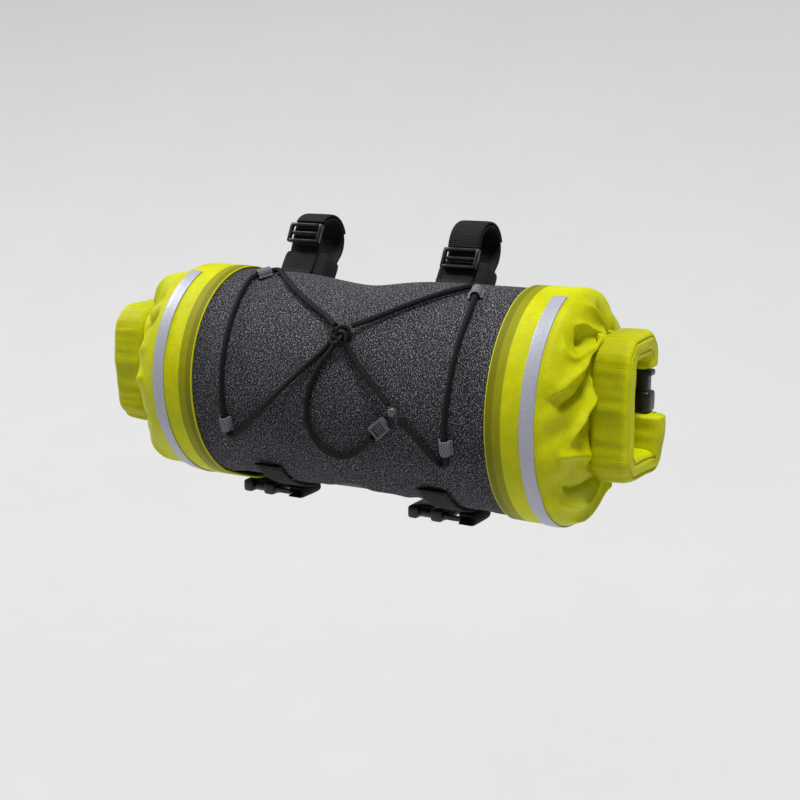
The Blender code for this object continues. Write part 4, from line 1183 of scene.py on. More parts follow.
def end_surface(side, share, angle, inset):
    """The roll's ellipse blended into the flat mouth by the pinch column, less the folds."""
    table = END_SECTIONS[side]
    reach, above, below, pinch, bulge = (
        smooth_rows(table[name], share) for name in ("reach", "above", "below", "pinch", "bulge"))
    pinch = np.clip(pinch, 0, 1)
    turn = np.radians(angle)
    upper = (1 + np.sin(turn)) / 2
    girth = above * upper + below * (1 - upper)
    facing = np.cos(turn)
    narrow = np.clip((facing - BULGE_EDGE) / (1 - BULGE_EDGE), 0, 1)
    ahead = np.where(bulge > 0, narrow, np.clip(facing, 0, 1))
    setback = (inset + CLOTH) * np.minimum(1, 6 * pinch * (1 - pinch))
    along = (reach + bulge * ahead) * END_REACH[side] - setback
    folded = np.clip((share - FOLDS_FROM) / (FOLDS_FULL - FOLDS_FROM), 0, 1)
    press = fold_depth(side, along, angle) * folded * (1 - pinch)
    flare = GAP - inset - press
    y_round = -(ROLL_DEPTH / 2 * girth + flare) * facing
    z_round = (ROLL_HEIGHT / 2 * girth + flare) * np.sin(turn)
    spread = np.where(facing >= 0, angle, 180.0 - angle)
    spread = (spread + 180.0) % 360.0 - 180.0
    y_line, z_line, y_normal, z_normal = closure_line(side, spread / 90.0)
    half = (MOUTH_THICK / 2 - inset) * np.clip(facing / MOUTH_EDGE, -1, 1)
    y = y_round * (1 - pinch) + (y_line + y_normal * half) * pinch
    z = z_round * (1 - pinch) + (z_line + z_normal * half) * pinch
    x = SIGN[side] * (PANEL_LENGTH / 2 + along)
    return np.stack(np.broadcast_arrays(x, y, z), axis=-1) + ROLL_AXIS


print("mouth of the right end", end_surface("right", np.array(1.0), np.array(0.0), 0.0).round(4))

# %% Creases and gathers of the ends
CREST_ROUND = {"left": 0.0018, "right": 0.0005}
FOLD_DEPTH = 1.4
FREE_CLOTH = {"left": (0.26, 0.42), "right": (0.33, 0.41)}
HELD_CLOTH = {"left": (0.88, 0.95), "right": (0.95, 0.995)}
# Each fold: shares and angles along its line, height (a valley's is negative) and width.
FOLD_LINES = {
    "left": (
        ((0.40, 0.55, 0.70, 0.92), (84.0, 74.0, 64.0, 50.0), 0.0036, 0.0046),
        ((0.36, 0.45, 0.62, 0.90), (42.0, 37.0, 34.0, 30.0), -0.0050, 0.0036),
        ((0.40, 0.56, 0.72, 0.92), (4.0, 0.0, -2.0, -2.0), 0.0026, 0.0062),
        ((0.44, 0.58, 0.75, 0.92), (-22.0, -26.0, -22.0, -16.0), -0.0036, 0.0034),
        ((0.38, 0.52, 0.70, 0.92), (-68.0, -58.0, -48.0, -38.0), 0.0026, 0.0050),
        ((0.46, 0.60, 0.78, 0.94), (-84.0, -78.0, -66.0, -54.0), -0.0026, 0.0050),
        ((0.36, 0.52, 0.74, 0.93), (20.0, 18.0, 14.0, 13.0), 0.0016, 0.0050),
        ((0.42, 0.56, 0.76, 0.93), (58.0, 56.0, 48.0, 41.0), -0.0024, 0.0028),
    ),
    "right": (
        ((0.44, 0.50, 0.66, 0.80), (48.0, 40.0, 37.0, 43.0), 0.0018, 0.0022),
        ((0.56, 0.60, 0.65), (48.0, 49.0, 50.0), -0.0056, 0.0044),
        ((0.49, 0.62, 0.80), (54.0, 61.0, 62.5), 0.0030, 0.0022),
        ((0.394, 0.56, 0.78, 0.93), (13.6, 22.5, 33.0, 46.0), 0.0046, 0.0038),
        ((0.50, 0.66, 0.87, 0.95), (10.5, 12.0, 20.0, 31.0), -0.0046, 0.0030),
        ((0.64, 0.73, 0.92, 0.985), (-13.8, 0.3, 9.0, 20.0), 0.0048, 0.0028),
        ((0.78, 0.90, 0.97), (-9.0, -3.0, 3.0), -0.0036, 0.0026),
        ((0.494, 0.66, 0.92), (-14.3, -17.5, -25.0), 0.0034, 0.0036),
        ((0.50, 0.60, 0.74, 0.84), (-35.0, -42.0, -55.0, -66.0), -0.0042, 0.0024),
        ((0.444, 0.53, 0.62, 0.78), (-42.0, -54.0, -74.0, -90.0), 0.0032, 0.0030),
        ((0.42, 0.50, 0.66), (-64.0, -88.0, -104.0), 0.0030, 0.0036),
        ((0.46, 0.60, 0.80, 0.94), (72.0, 76.0, 72.0, 64.0), 0.0036, 0.0034),
        ((0.50, 0.66, 0.84, 0.95), (90.0, 88.0, 80.0, 72.0), -0.0034, 0.0030),
    ),
}
BACK_FOLDS = 11
BACK_ANGLES = (104.0, 256.0)
PLEATS = 21
NORMAL_SHARE = 0.004
NORMAL_ANGLE = 0.5


def back_folds(side):
    """Folds of the side that the photograph hides: crests and valleys in turn, seeded."""
    draw = np.random.default_rng(40 + SIDES.index(side))
    folds = []
    for row, middle in enumerate(np.linspace(*BACK_ANGLES, BACK_FOLDS)):
        start = draw.uniform(0.46, 0.58)
        shares = np.linspace(start, 0.95, 4)
        angles = middle + (180.0 - middle) * 0.16 * np.linspace(0, 1, 4) + draw.uniform(-4, 4, 4)
        height = draw.uniform(0.0018, 0.0028) * (1 if row % 2 == 0 else -1)
        folds.append((tuple(shares), tuple(angles), height, draw.uniform(0.0038, 0.0054)))
    return tuple(folds)


def fold_relief(side, points):
    """Sum of folds: each is height exp(-(sqrt(d^2 + r^2) - r) / width), its crest rounded by r.

    d is the distance from a point to the fold's line on the end, which fades in at its start.
    """
    flat = points.reshape(-1, 3)
    relief = np.zeros(len(flat))
    fine = np.linspace(0, 1, 60)
    for shares, angles, height, width in FOLD_LINES[side] + back_folds(side):
        line = end_surface(side, smooth_rows(shares, fine), smooth_rows(angles, fine), -CLOTH)
        tangent = unit(np.gradient(line, axis=0))
        apart = np.linalg.norm(flat[:, None, :] - line[None, :, :], axis=2)
        near = np.argmin(apart, axis=1)
        offset = flat - line[near]
        forward = np.einsum("ij,ij->i", offset, tangent[near])
        inner = (near > 0) & (near < len(fine) - 1)
        distance = np.sqrt(np.maximum(apart[np.arange(len(flat)), near] ** 2
                                      - np.where(inner, forward ** 2, 0), 0))
        narrow = width * (0.70 + 0.45 * fine[near])
        crest = CREST_ROUND[side]
        round_off = np.sqrt(distance ** 2 + crest ** 2) - crest
        fade = eased(fine[near], -0.02, 0.32)
        relief = relief + FOLD_DEPTH * height * np.exp(-round_off / narrow) * fade
    return relief.reshape(points.shape[:-1])


def gather_height(share, angle):
    """Fine pleats that grow towards the mouth, uneven in pitch."""
    turn = np.mod(angle, 360.0) / 360.0
    pleat = np.cos(2 * math.pi * (PLEATS * turn + 0.9 * waves(turn, 1.0, 11) + 1.3 * share))
    grow = eased(share, 0.62, 0.90) * (1 - eased(share, 0.95, 0.99))
    return (pleat - 0.4 * np.abs(pleat)) * (0.0003 + 0.0004 * (1 + waves(turn, 3.0, 12))) * grow


def outward_normals(side, share, angle):
    """Unit normals of the end, from small steps along its two parameters."""
    inner, outer = (end_surface(side, np.clip(share + step, 0, 1), angle, -CLOTH)
                    for step in (-NORMAL_SHARE, NORMAL_SHARE))
    before, after = (end_surface(side, share, angle + step, -CLOTH)
                     for step in (-NORMAL_ANGLE, NORMAL_ANGLE))
    normal = SIGN[side] * np.cross(outer - inner, after - before)
    return normal / (np.linalg.norm(normal, axis=-1, keepdims=True) + 1e-12)


def dressed_end(side, share, angle, out=0.0):
    """The end's outer face with its folds, its gathers and the slack between them."""
    share, angle = np.broadcast_arrays(share, angle)
    base_points = end_surface(side, share, angle, -CLOTH)
    folded_angle = np.mod(angle + 180.0, 360.0) - 180.0
    height = fold_relief(side, base_points) + gather_height(share, angle)
    free = eased(share, *FREE_CLOTH[side]) * (1 - eased(share, *HELD_CLOTH[side]))
    slack = 0.0008 * waves(folded_angle / 360.0, 6.0, 14) * waves(share, 2.0, 15)
    height = (height + slack) * free
    return base_points + outward_normals(side, share, angle) * (height + out)[..., None]


print("folds", {side: len(FOLD_LINES[side]) + BACK_FOLDS for side in SIDES})

# %% Mesh of the ends
SEAM_LIP = 0.0006
UNDERSIDE_LIP = {"left": 0.016, "right": 0.002}
UNDERSIDE_LIP_ANGLE = (-62.0, -118.0)
UNDERSIDE_LIP_SLOPE = 14.0
LIP_STEPS = 6
MOUTH_TUCK = 0.0012


def underside_share(angle):
    """1 under the roll, where an end reaches further in, and 0 elsewhere."""
    angle = (np.asarray(angle) + 180.0) % 360.0 - 180.0
    high, low = UNDERSIDE_LIP_ANGLE
    start = np.clip((angle - low) / UNDERSIDE_LIP_SLOPE, 0, 1)
    return start * np.clip((high - angle) / UNDERSIDE_LIP_SLOPE, 0, 1)


def end_mesh(side, rows, columns):
    """Rows from the seam's lip to the mouth, columns once round, closed with its UV whole."""
    angle = np.linspace(-90.0, 270.0, columns + 1)[None, :-1]
    share = np.linspace(0, 1, rows)[:, None]
    points = dressed_end(side, share, angle)
    lip = SEAM_LIP + UNDERSIDE_LIP[side] * underside_share(angle)
    lip_steps = np.linspace(1, 0, LIP_STEPS + 1)[:-1]
    strips = np.repeat(points[:1], LIP_STEPS, axis=0)
    strips[:, :, 0] -= SIGN[side] * lip_steps[:, None] * lip
    points = np.concatenate((strips, points))
    points[-1, :, 0] += SIGN[side] * MOUTH_TUCK
    rows = len(points)
    walked = np.concatenate((np.zeros((1, columns)), np.cumsum(
        np.linalg.norm(np.diff(points, axis=0), axis=-1), axis=0)))
    around = np.radians(np.linspace(-90.0, 270.0, columns + 1)) * ROLL_HEIGHT / 2
    closed_walk = np.concatenate((walked, walked[:, :1]), axis=1)
    uv = np.stack(np.broadcast_arrays(around[None, :], closed_walk), axis=-1).reshape(-1, 2)
    faces = grid_faces(rows, columns, True)
    corner_uv = uv[grid_faces(rows, columns + 1).ravel()]
    if side == "right":
        faces, corner_uv = turned_over(faces, corner_uv)
    piece = link_mesh(f"end_{side}_cloth", points.reshape(-1, 3), faces, corner_uv, YELLOW)
    point_values(piece, "seam", walked)
    add_wall(piece, CLOTH)
    return place_piece(piece, "yellow_cloth", f"end_{side}")


ends = {side: end_mesh(side, 130, 300) for side in SIDES}
print({side: len(piece.data.vertices) for side, piece in ends.items()})

# %% [markdown]
# ## The reflective stripes
#
# A narrow tape is stuck round each end, so it is made from the same dressed surface, held
# a little over it. It follows each dent of the cloth beneath.

# %% Reflective stripes
STRIPE_WIDTH = 0.0097
STRIPE_FROM_SEAM = 0.0243
STRIPE_THICK = 0.0006
STRIPE_ANGLE = (-118.0, 72.0)


def stripe_mesh(side):
    """The end's surface between two distances from the seam, lifted by the tape's height."""
    edges = (STRIPE_FROM_SEAM / END_REACH[side],
             (STRIPE_FROM_SEAM + STRIPE_WIDTH) / END_REACH[side])
    fine = np.linspace(0, 0.6, 200)
    reach = smooth_rows(END_SECTIONS[side]["reach"], fine)
    share = np.interp(np.linspace(*edges, 13), reach, fine)[None, :]
    angle = np.linspace(*STRIPE_ANGLE, 220)[:, None]
    points = dressed_end(side, share, angle, GAP + STRIPE_THICK)
    return place_piece(sheet_mesh(f"stripe_{side}_tape", points, TAPE, STRIPE_THICK),
                       "reflective_tape", f"stripe_{side}")


stripes = [stripe_mesh(side) for side in SIDES]
print("stripes", len(stripes))

# %% [markdown]
# ## The rolled closures
#
# The flat mouth is rolled down on itself three times, so the band's outer edge shows the
# edges of its layers as fine lines. Rolled cloth does not follow a round bend but buckles
# into short straight runs. So the C is a polygon with softened corners, and a rounded
# section is carried along it, puckered at the corners and grooved between the layers.

# %% Rolled closures
LAYER_LINES = (-0.42, 0.08, 0.52)
LAYER_GROOVE = 0.0014
CLOSURE_ROUND = 2 / 4.2
# Strength of the painted shade on the closure's front face.
CLOSURE_PAINTED_SHADE = 0.22
CLOSURE_KINK = {"left": (0.0035, 0.006), "right": (0.0010, 0.004)}
CLOSURE_LEAN = {"left": 0.10, "right": -0.06}
CLOSURE_FLARE = {"left": 0.001, "right": 0.0055}
CLOSURE_SQUARE = {"left": 0.0, "right": 0.6}


def closure_polygon(side):
    """The C with each round bend cut to two sharp turns, as folded cloth takes it."""
    rise = CLOSURE_HEIGHT[side] / 2 - CLOSURE_BEND
    cut = CLOSURE_BEND * math.tan(math.pi / 8)
    kink, kink_level = CLOSURE_KINK[side]
    corners = [(-kink, kink_level)]
    square = CLOSURE_SQUARE[side]
    for half, fall, sharp in ((1, rise - TIP_ABOVE, 0.0), (-1, rise - TIP_BELOW, square)):
        rear = cut + (CLOSURE_BEND - cut) * sharp
        arm = [(0.0, half * (rise + cut)), (CLOSURE_BEND - cut, half * (rise + CLOSURE_BEND)),
               (CLOSURE_DEPTH - CLOSURE_BEND + rear, half * (rise + CLOSURE_BEND)),
               (CLOSURE_DEPTH, half * (rise + rear)), (CLOSURE_DEPTH, half * (rise - fall))]
        corners = corners + arm if half > 0 else arm[::-1] + corners
    corners = np.array(corners) + (-CLOSURE_AHEAD, CLOSURE_RAISE[side])
    path = np.concatenate((np.zeros((len(corners), 1)), corners), axis=1)
    return soften(resample(path, 0.0006), 9)[:, 1:]


def closure_mesh(side, columns=96):
    """The section carried along the C; x is outwards along the bag and y is off its face."""
    path = closure_polygon(side)
    rows = len(path)
    share = np.linspace(-1, 1, rows)
    heading = unit(np.gradient(path, axis=0))
    x, y = rounded_ring(columns, CLOSURE_ROUND, CLOSURE_ROUND)
    tip = np.sqrt(np.clip(1 - np.clip((np.abs(share) - 0.96) / 0.04, 0, 1) ** 4, 0.35, 1))
    lean = 1 + CLOSURE_LEAN[side] * share + 0.02 * waves(share, 4.0, 22)
    half_wide = CLOSURE_WIDTH / 2 * (lean * tip)[:, None]
    half_thick = CLOSURE_THICK / 2 * ((1 + 0.06 * waves(share, 3.0, 21)) * tip)[:, None]
    outer = eased(x, 0.50, 0.85)[None, :]
    groove = np.zeros((rows, columns + 1))
    for number, place in enumerate(LAYER_LINES):
        centre = place + 0.06 * waves(share, 2.5, 30 + number)[:, None]
        groove = groove + np.exp(-((y[None, :] - centre) / 0.07) ** 2)
    along = x[None, :] * half_wide - LAYER_GROOVE * groove * outer
    flare = CLOSURE_FLARE[side] * eased(-share, 0.42, 0.90)
    along = along + flare[:, None] * (x[None, :] + 1) / 2
    turning = np.gradient(np.unwrap(np.arctan2(heading[:, 1], heading[:, 0])))
    bent = np.abs(turning) / np.max(np.abs(turning))
    for _ in range(30):
        bent = np.convolve(bent, (0.25, 0.5, 0.25), mode="same")
    bent = (bent / np.max(bent))[:, None]
    slant = share[:, None] + 0.016 * x[None, :] * np.sign(share)[:, None]
    pucker = 0.0014 * waves(slant, 15.0, 24) * bent + 0.0005 * waves(share, 9.0, 23)[:, None]
    off = y[None, :] * (half_thick + pucker * (1 - 0.6 * np.abs(x[None, :]) ** 4))
    middle = PANEL_LENGTH / 2 + END_REACH[side] + GAP + CLOSURE_WIDTH / 2
    px = SIGN[side] * (middle + along)
    py = path[:, :1] - heading[:, 1:] * off
    pz = path[:, 1:] + heading[:, :1] * off
    points = np.stack((px, py, pz), axis=-1) + ROLL_AXIS
    girth = run_along(np.stack((x * CLOSURE_WIDTH / 2, y * CLOSURE_THICK / 2), axis=-1))
    uv = np.stack(np.meshgrid(girth, run_along(path)), axis=-1)
    piece = closed_tube(f"closure_{side}_rolled", points[:, :-1], uv, YELLOW, 60.0)
    # Painted shade: the band's front face is darkened towards olive, as it turns away from the
    # lamps.
    face = eased(y, 0.35, 0.85)[None, :-1] * (1 - eased(x, 0.62, 0.9))[None, :-1]
    shade = np.broadcast_to(CLOSURE_PAINTED_SHADE * face, points[:, :-1].shape[:2])
    point_values(piece, "olive", shade)
    return place_piece(piece, "yellow_cloth", f"closure_{side}")


closures = {side: closure_mesh(side) for side in SIDES}
print("closure points", len(closures["right"].data.vertices))

# %% [markdown]
# ## The bar mounting
#
# Foam spacers keep the roll off the handlebar. Each strap starts at a foot on the panel,
# goes up before the spacer, over the bar and down behind. Its free end comes back over
# the loop from a ladder lock, a plate with two slots.

# %% Foam spacers
STRAP_SPACING = 0.137
SPACER_LENGTH = 0.040
SPACER_DEPTH = 0.024
SPACER_ROUND = 0.35
STRAP_MIDDLE = {side: SIGN[side] * STRAP_SPACING / 2 for side in SIDES}
STRAP_AHEAD = SPACER_DEPTH / 2 + GAP + WEBBING / 2


def spacer_mesh(side):
    """A block between two surfaces: a flat seat under the bar and the roll's own curve.

    Its section is rounded, and its sides swell a little as pressed foam does.
    """
    x, y = rounded_ring(64, SPACER_ROUND, SPACER_ROUND)
    level = np.linspace(0, 1, 25)[:, None]
    edge = 1 - 0.035 * (2 * level - 1) ** 8 + 0.012 * np.sin(math.pi * level)
    along = STRAP_MIDDLE[side] + x[None, :] * SPACER_LENGTH / 2 * edge
    across = y[None, :] * SPACER_DEPTH / 2 * edge
    top = TO_FRONT * across[..., None] + TO_ROLL * SEAT_DISTANCE
    bottom = roll_surface(along - PANEL_MIDDLE, BAR_ANGLE - np.degrees(across / ROLL_REACH), GAP)
    points = top * (1 - level[..., None]) + bottom * level[..., None]
    points[..., 0] = along
    around = np.linspace(0, 2 * math.pi, len(x)) * 0.02
    uv = np.stack(np.broadcast_arrays(around, level * SPACER_HEIGHT), axis=-1)
    piece = closed_tube(f"spacer_{side}_foam", points[:, :-1], uv, FOAM)
    return place_piece(piece, "foam", f"spacer_{side}")


spacers = [spacer_mesh(side) for side in SIDES]
print("spacers", len(spacers))

# %% Strap round the bar
STRAP_LEAVES_BAR = 22.0
STRAP_FOOT = 0.009
STRAP_FOOT_RISE = 0.0055
STRAP_FOOT_BEND = 0.0066


def bar_point(front, down):
    """A point by its distance to the front of the bar's axis and towards the roll."""
    return TO_FRONT * front + TO_ROLL * down


def around_bar(radius, degrees):
    """Points round the bar; 0 degrees is straight ahead, 90 is straight up."""
    turn = np.radians(degrees)
    return np.stack((0 * turn, -radius * np.cos(turn), radius * np.sin(turn)), axis=-1)


def strap_line():
    """The strap's middle line across the bar: up before the spacer, over, and down behind."""
    radius = SEAT_DISTANCE + WEBBING / 2
    start = math.degrees(BAR_LEAN) - STRAP_LEAVES_BAR
    arc = around_bar(radius, start + np.linspace(0, 180 + 2 * STRAP_LEAVES_BAR, 61))
    deep = SEAT_DISTANCE + SPACER_HEIGHT - STRAP_FOOT_RISE
    shoulder = SEAT_DISTANCE + WEBBING
    before = [bar_point(STRAP_AHEAD, deep), bar_point(STRAP_AHEAD, shoulder)]
    behind = [bar_point(-STRAP_AHEAD, shoulder), bar_point(-STRAP_AHEAD, deep)]
    return np.concatenate((before, arc, behind))


def foot_angle(deep):
    """Degrees round the roll from below the bar to a distance into a strap's foot."""
    return (math.degrees((STRAP_AHEAD + STRAP_FOOT_BEND) / ROLL_REACH)
            + math.degrees(deep / ROLL_REACH))


def bar_strap(side):
    """The line across the bar, with a foot at each end that lies on the panel."""
    feet = np.array((foot_angle(STRAP_FOOT), foot_angle(0.0)))
    ahead = roll_surface(0.0, BAR_ANGLE - feet, GAP + WEBBING / 2)
    back = roll_surface(0.0, BAR_ANGLE + feet[::-1], GAP + WEBBING / 2)
    path = np.concatenate((ahead, strap_line(), back))
    path[:, 0] = STRAP_MIDDLE[side]
    return webbing_piece(f"bar_strap_{side}", soften(resample(path, 0.0008), 8))


bar_straps = [bar_strap(side) for side in SIDES]
print("bar straps", len(bar_straps))

# %% Strap tails and ladder locks
LADDER_LOCK = (0.029, 0.0042, 0.0155)
LADDER_LOCK_ANGLE = {"left": 20.0, "right": -17.0}
LADDER_LOCK_RAIL = 0.0026
LADDER_LOCK_BARS = (-0.0066, 0.0, 0.0066)
TAIL_AFTER_LOCK = 0.0015
TAIL_END_ANGLE = 168.0


def strap_course():
    """The strap's line in fine steps: distance walked, points, and angle round the bar."""
    line = strap_line()
    run = run_along(line)
    fine = np.linspace(0, run[-1], 600)
    dense = read_along(line, run, fine)
    return fine, dense, np.degrees(np.unwrap(np.arctan2(dense[:, 2], -dense[:, 1])))


course_run, course, course_angle = strap_course()


def course_points(low, high, count):
    """Evenly spaced points between two distances along the course."""
    return read_along(course, course_run, np.linspace(low, high, count))


def course_distance(angle):
    """How far along it the course reaches an angle round the bar."""
    return np.interp(angle, course_angle, course_run)


def strap_tail(side):
    """The free end: the strap's line pushed out by its own thickness."""
    start = course_distance(LADDER_LOCK_ANGLE[side]) + LADDER_LOCK[2] / 2 + TAIL_AFTER_LOCK
    points = course_points(start, course_distance(TAIL_END_ANGLE), 90)
    normal = unit(np.cross(np.gradient(points, axis=0), (-1.0, 0.0, 0.0)))
    path = points + normal * (WEBBING + GAP)
    path[:, 0] = STRAP_MIDDLE[side]
    return webbing_piece(f"strap_tail_{side}", soften(path, 3))


def ladder_lock(side):
    """Two rails and three bars, the middle one lower, just clear of the strap."""
    width, thick, height = LADDER_LOCK
    centre = course_distance(LADDER_LOCK_ANGLE[side])
    points = course_points(centre - height / 2, centre + height / 2, 24)
    upward = unit(points[-1] - points[0])
    outward = np.cross(upward, (-1.0, 0.0, 0.0))
    middle = (points[0] + points[-1]) / 2
    proud = np.max((points - middle) @ outward)
    place = middle + outward * (proud + WEBBING / 2 + GAP + thick / 2)
    place[0] = STRAP_MIDDLE[side]
    parts = []
    for end in (-1, 1):
        parts.append(rounded_box((LADDER_LOCK_RAIL, thick, height), 0.0011,
                                 (end * (width - LADDER_LOCK_RAIL) / 2, 0, 0)))
    for row, level in enumerate(LADDER_LOCK_BARS):
        deep = thick * (0.62 if row == 1 else 0.94)
        parts.append(rounded_box((width - 0.001, deep, 0.0028), 0.0011, (0, 0, level)))
    axes = np.array(((1.0, 0.0, 0.0), -outward, upward))
    return moulded_piece(f"ladder_lock_{side}", parts, place, axes)


tails = [strap_tail(side) for side in SIDES]
locks = [ladder_lock(side) for side in SIDES]
print("tails and ladder locks", len(tails), len(locks))

# %% [markdown]
# ## Tabs and buckles below
#
# A strip of webbing is sewn under each end of the roll, and a side-release buckle hangs
# below it with a short fold of webbing round its bar. The buckle's two shoulders, its
# windows with the prongs in them and its ribs are separate soft-edged blocks.

# %% Underside tabs
TAB_WIDTH = 0.0225
TAB_TOP_ANGLE = -44.0
TAB_END_ANGLE = -104.0
TAB_PLACE = {"left": -0.0660, "right": 0.0690}


def underside_tab(side):
    """A strap laid along the roll's own curve, from its front down under it."""
    angle = np.linspace(TAB_TOP_ANGLE, TAB_END_ANGLE, 110)
    path = roll_surface(TAB_PLACE[side], angle, GAP + WEBBING / 2)
    return webbing_piece(f"underside_tab_{side}", path, TAB_WIDTH)


underside_tabs = [underside_tab(side) for side in SIDES]
print("underside tabs", len(underside_tabs))

# %% Side-release buckles
BUCKLE_SOCKET = (0.028, 0.030, 0.0095)
BUCKLE_PLUG = (0.014, 0.0275, 0.0041)
BUCKLE_PLACE = {"left": -0.0945, "right": 0.0500}
BUCKLE_CHEEK = 0.0026
FOLD_LENGTH = 0.011
FOLD_START = 0.0017


def buckle_start(side):
    long_side = BUCKLE_SOCKET[0] + GAP + BUCKLE_PLUG[0]
    level = ROLL_AXIS[2] - ROLL_HEIGHT / 2 - 2 * GAP - WEBBING - BUCKLE_SOCKET[2] / 2
    return np.array((ROLL_AXIS[0] + BUCKLE_PLACE[side] - long_side / 2, ROLL_AXIS[1], level))


def buckle_socket(side):
    """A hollow body open at its two sides, where the plug's prongs show, with three ribs."""
    long_side, wide, high = BUCKLE_SOCKET
    parts = [
        rounded_box((long_side * 0.30, wide, high), 0.0024, (-long_side * 0.35, 0, 0)),
        rounded_box((long_side * 0.34, wide, high), 0.0024, (long_side * 0.33, 0, 0)),
        rounded_box((long_side * 0.9, wide * 0.56, high), 0.0022),
        rounded_box((long_side * 0.40, wide * 0.86, high * 0.5), 0.0020, (0.0005, 0, 0)),
    ]
    for step in (-1, 0, 1):
        parts.append(rounded_box((0.0011, wide * 0.40, high + 0.0009), 0.0005,
                                 (long_side * 0.33 + step * 0.0026, 0, 0)))
    place = buckle_start(side) + (long_side / 2, 0, 0)
    return moulded_piece(f"buckle_socket_{side}", parts, place)


def buckle_plug(side):
    """The plug's root and the bar that its webbing goes round, joined by two cheeks."""
    long_side, wide, high = BUCKLE_PLUG
    parts = [
        rounded_box((0.0050, wide, high), 0.0014, (-long_side / 2 + 0.0025, 0, 0)),
        rounded_box((0.0030, wide, high), 0.0014, (long_side / 2 - 0.0015, 0, 0)),
    ]
    for end in (-1, 1):
        parts.append(rounded_box((long_side, BUCKLE_CHEEK, high), 0.0012,
                                 (0, end * (wide - BUCKLE_CHEEK) / 2, 0)))
    place = buckle_start(side) + (BUCKLE_SOCKET[0] + GAP + long_side / 2, 0, 0)
    return moulded_piece(f"buckle_plug_{side}", parts, place)


def strap_fold(side):
    """Webbing that leaves the plug's top, turns through half a circle and comes back."""
    start = buckle_start(side)
    end = start[0] + BUCKLE_SOCKET[0] + GAP + BUCKLE_PLUG[0]
    loop = BUCKLE_PLUG[2] / 2 + GAP + WEBBING / 2
    turn = np.radians(np.linspace(-90, 90, 31))
    x = end + FOLD_LENGTH - loop + loop * np.cos(turn)
    z = start[2] + loop * np.sin(turn)
    x = np.concatenate(([end - FOLD_START], x, [end - FOLD_START]))
    z = np.concatenate(([start[2] - loop], z, [start[2] + loop]))
    path = np.stack((x, np.full_like(x, ROLL_AXIS[1]), z), axis=-1)
    return webbing_piece(f"strap_fold_{side}", resample(path, 0.0006), across=(0.0, 1.0, 0.0))


buckles = [make(side) for side in SIDES for make in (buckle_socket, buckle_plug, strap_fold)]
print("buckle pieces", len(buckles))

# %% Buckles of the closures
CLOSURE_BUCKLE_WIDTH = 0.023
CLOSURE_BUCKLE_THICK = 0.0135


def closure_buckle(side):
    """Two buckle halves that meet behind the closure, with the join between them."""
    y, z, _, _ = closure_line(side, np.array((-1.0, 1.0)))
    height = z[1] - z[0] - 2 * GAP
    wide, thick = CLOSURE_BUCKLE_WIDTH, CLOSURE_BUCKLE_THICK
    parts = [
        rounded_box((wide, thick, height * 0.50), 0.0024, (0, 0, -height * 0.25)),
        rounded_box((wide * 0.80, thick * 0.70, height * 0.60), 0.0020, (0, 0, height * 0.18)),
        rounded_box((wide, thick * 0.84, height * 0.16), 0.0018, (0, 0, height * 0.42)),
    ]
    place = np.array((SIGN[side] * (PANEL_LENGTH / 2 + END_REACH[side] + CLOSURE_WIDTH / 2),
                      y[0], (z[0] + z[1]) / 2)) + ROLL_AXIS
    return moulded_piece(f"closure_buckle_{side}", parts, place)


closure_buckles = [closure_buckle(side) for side in SIDES]
print("closure buckles", len(closure_buckles))

# %% [markdown]
# ## Tabs for the elastic
#
# Each tab is a short tunnel of grey webbing, sewn flat on both sides of the cord. Its
# section is drawn across the cord, and the webbing's width runs along the cord.

# %% Cord tabs
CORD_TAB = (0.0108, 0.0105, 0.001)
CORD_TAB_ROOM = 0.0006
CORD_TAB_STITCH = 0.0006
CORD_TAB_PLACE = {
    "top_left": (-0.0902, 76.3, 57.0),
    "bottom_left": (-0.0895, -17.0, 90.0),
    "top_right": (0.0868, 71.0, 106.0),
    "bottom_right": (0.0888, -14.0, 90.0),
}


def tab_frame(place_name):
    along, angle, slant = CORD_TAB_PLACE[place_name]
    return on_roll((along, angle), math.radians(slant))


def cord_tab(place_name):
    """Flat foot, a half circle over the cord, and the other foot."""
    place, axis, across, normal = tab_frame(place_name)
    length, width, wall = CORD_TAB
    radius = CORD / 2 + CORD_TAB_ROOM + wall / 2
    centre = CORD / 2 + CORD_TAB_ROOM
    foot = GAP + wall / 2
    turn = np.radians(np.linspace(195, -15, 40))
    side = np.concatenate(([-width / 2, -radius - CORD_TAB_STITCH], radius * np.cos(turn),
                           [radius + CORD_TAB_STITCH, width / 2]))
    up = np.concatenate(([foot, foot], centre + radius * np.sin(turn), [foot, foot]))
    path = place + across * side[:, None] + normal * up[:, None]
    path = soften(resample(path, 0.0003), 3)
    piece = strap_mesh(f"cord_tab_{place_name}_webbing", path, axis, length, wall, WEBBING_GREY)
    return place_piece(piece, "grey_webbing", f"cord_tab_{place_name}")


cord_tabs = [cord_tab(place_name) for place_name in CORD_TAB_PLACE]
print("cord tabs", len(cord_tabs))

# %% [markdown]
# ## Stitching
#
# Thread shows as short raised dashes in rows. All dashes of one row are copies of one
# small spindle with six sides, placed by numpy along a line, so hundreds cost little.

# %% Stitches
STITCH_LENGTH = 0.0024
STITCH_PITCH = 0.0030
STITCH_WIDTH = 0.00055
STITCH_PROUD = STITCH_WIDTH * 0.2
TAB_STITCH_INSET = 0.0012
TAB_STITCH_SHARE = 0.42


def stitch_row(start, end, normal):
    """Centres and the two directions of the stitches along a straight line."""
    start, end = np.asarray(start), np.asarray(end)
    length = np.linalg.norm(end - start)
    count = max(int(length / STITCH_PITCH), 1)
    share = (np.arange(count) + 0.5) / count
    centres = start + (end - start) * share[:, None]
    direction = (end - start) / length
    return centres, np.tile(direction, (count, 1)), np.tile(normal, (count, 1))


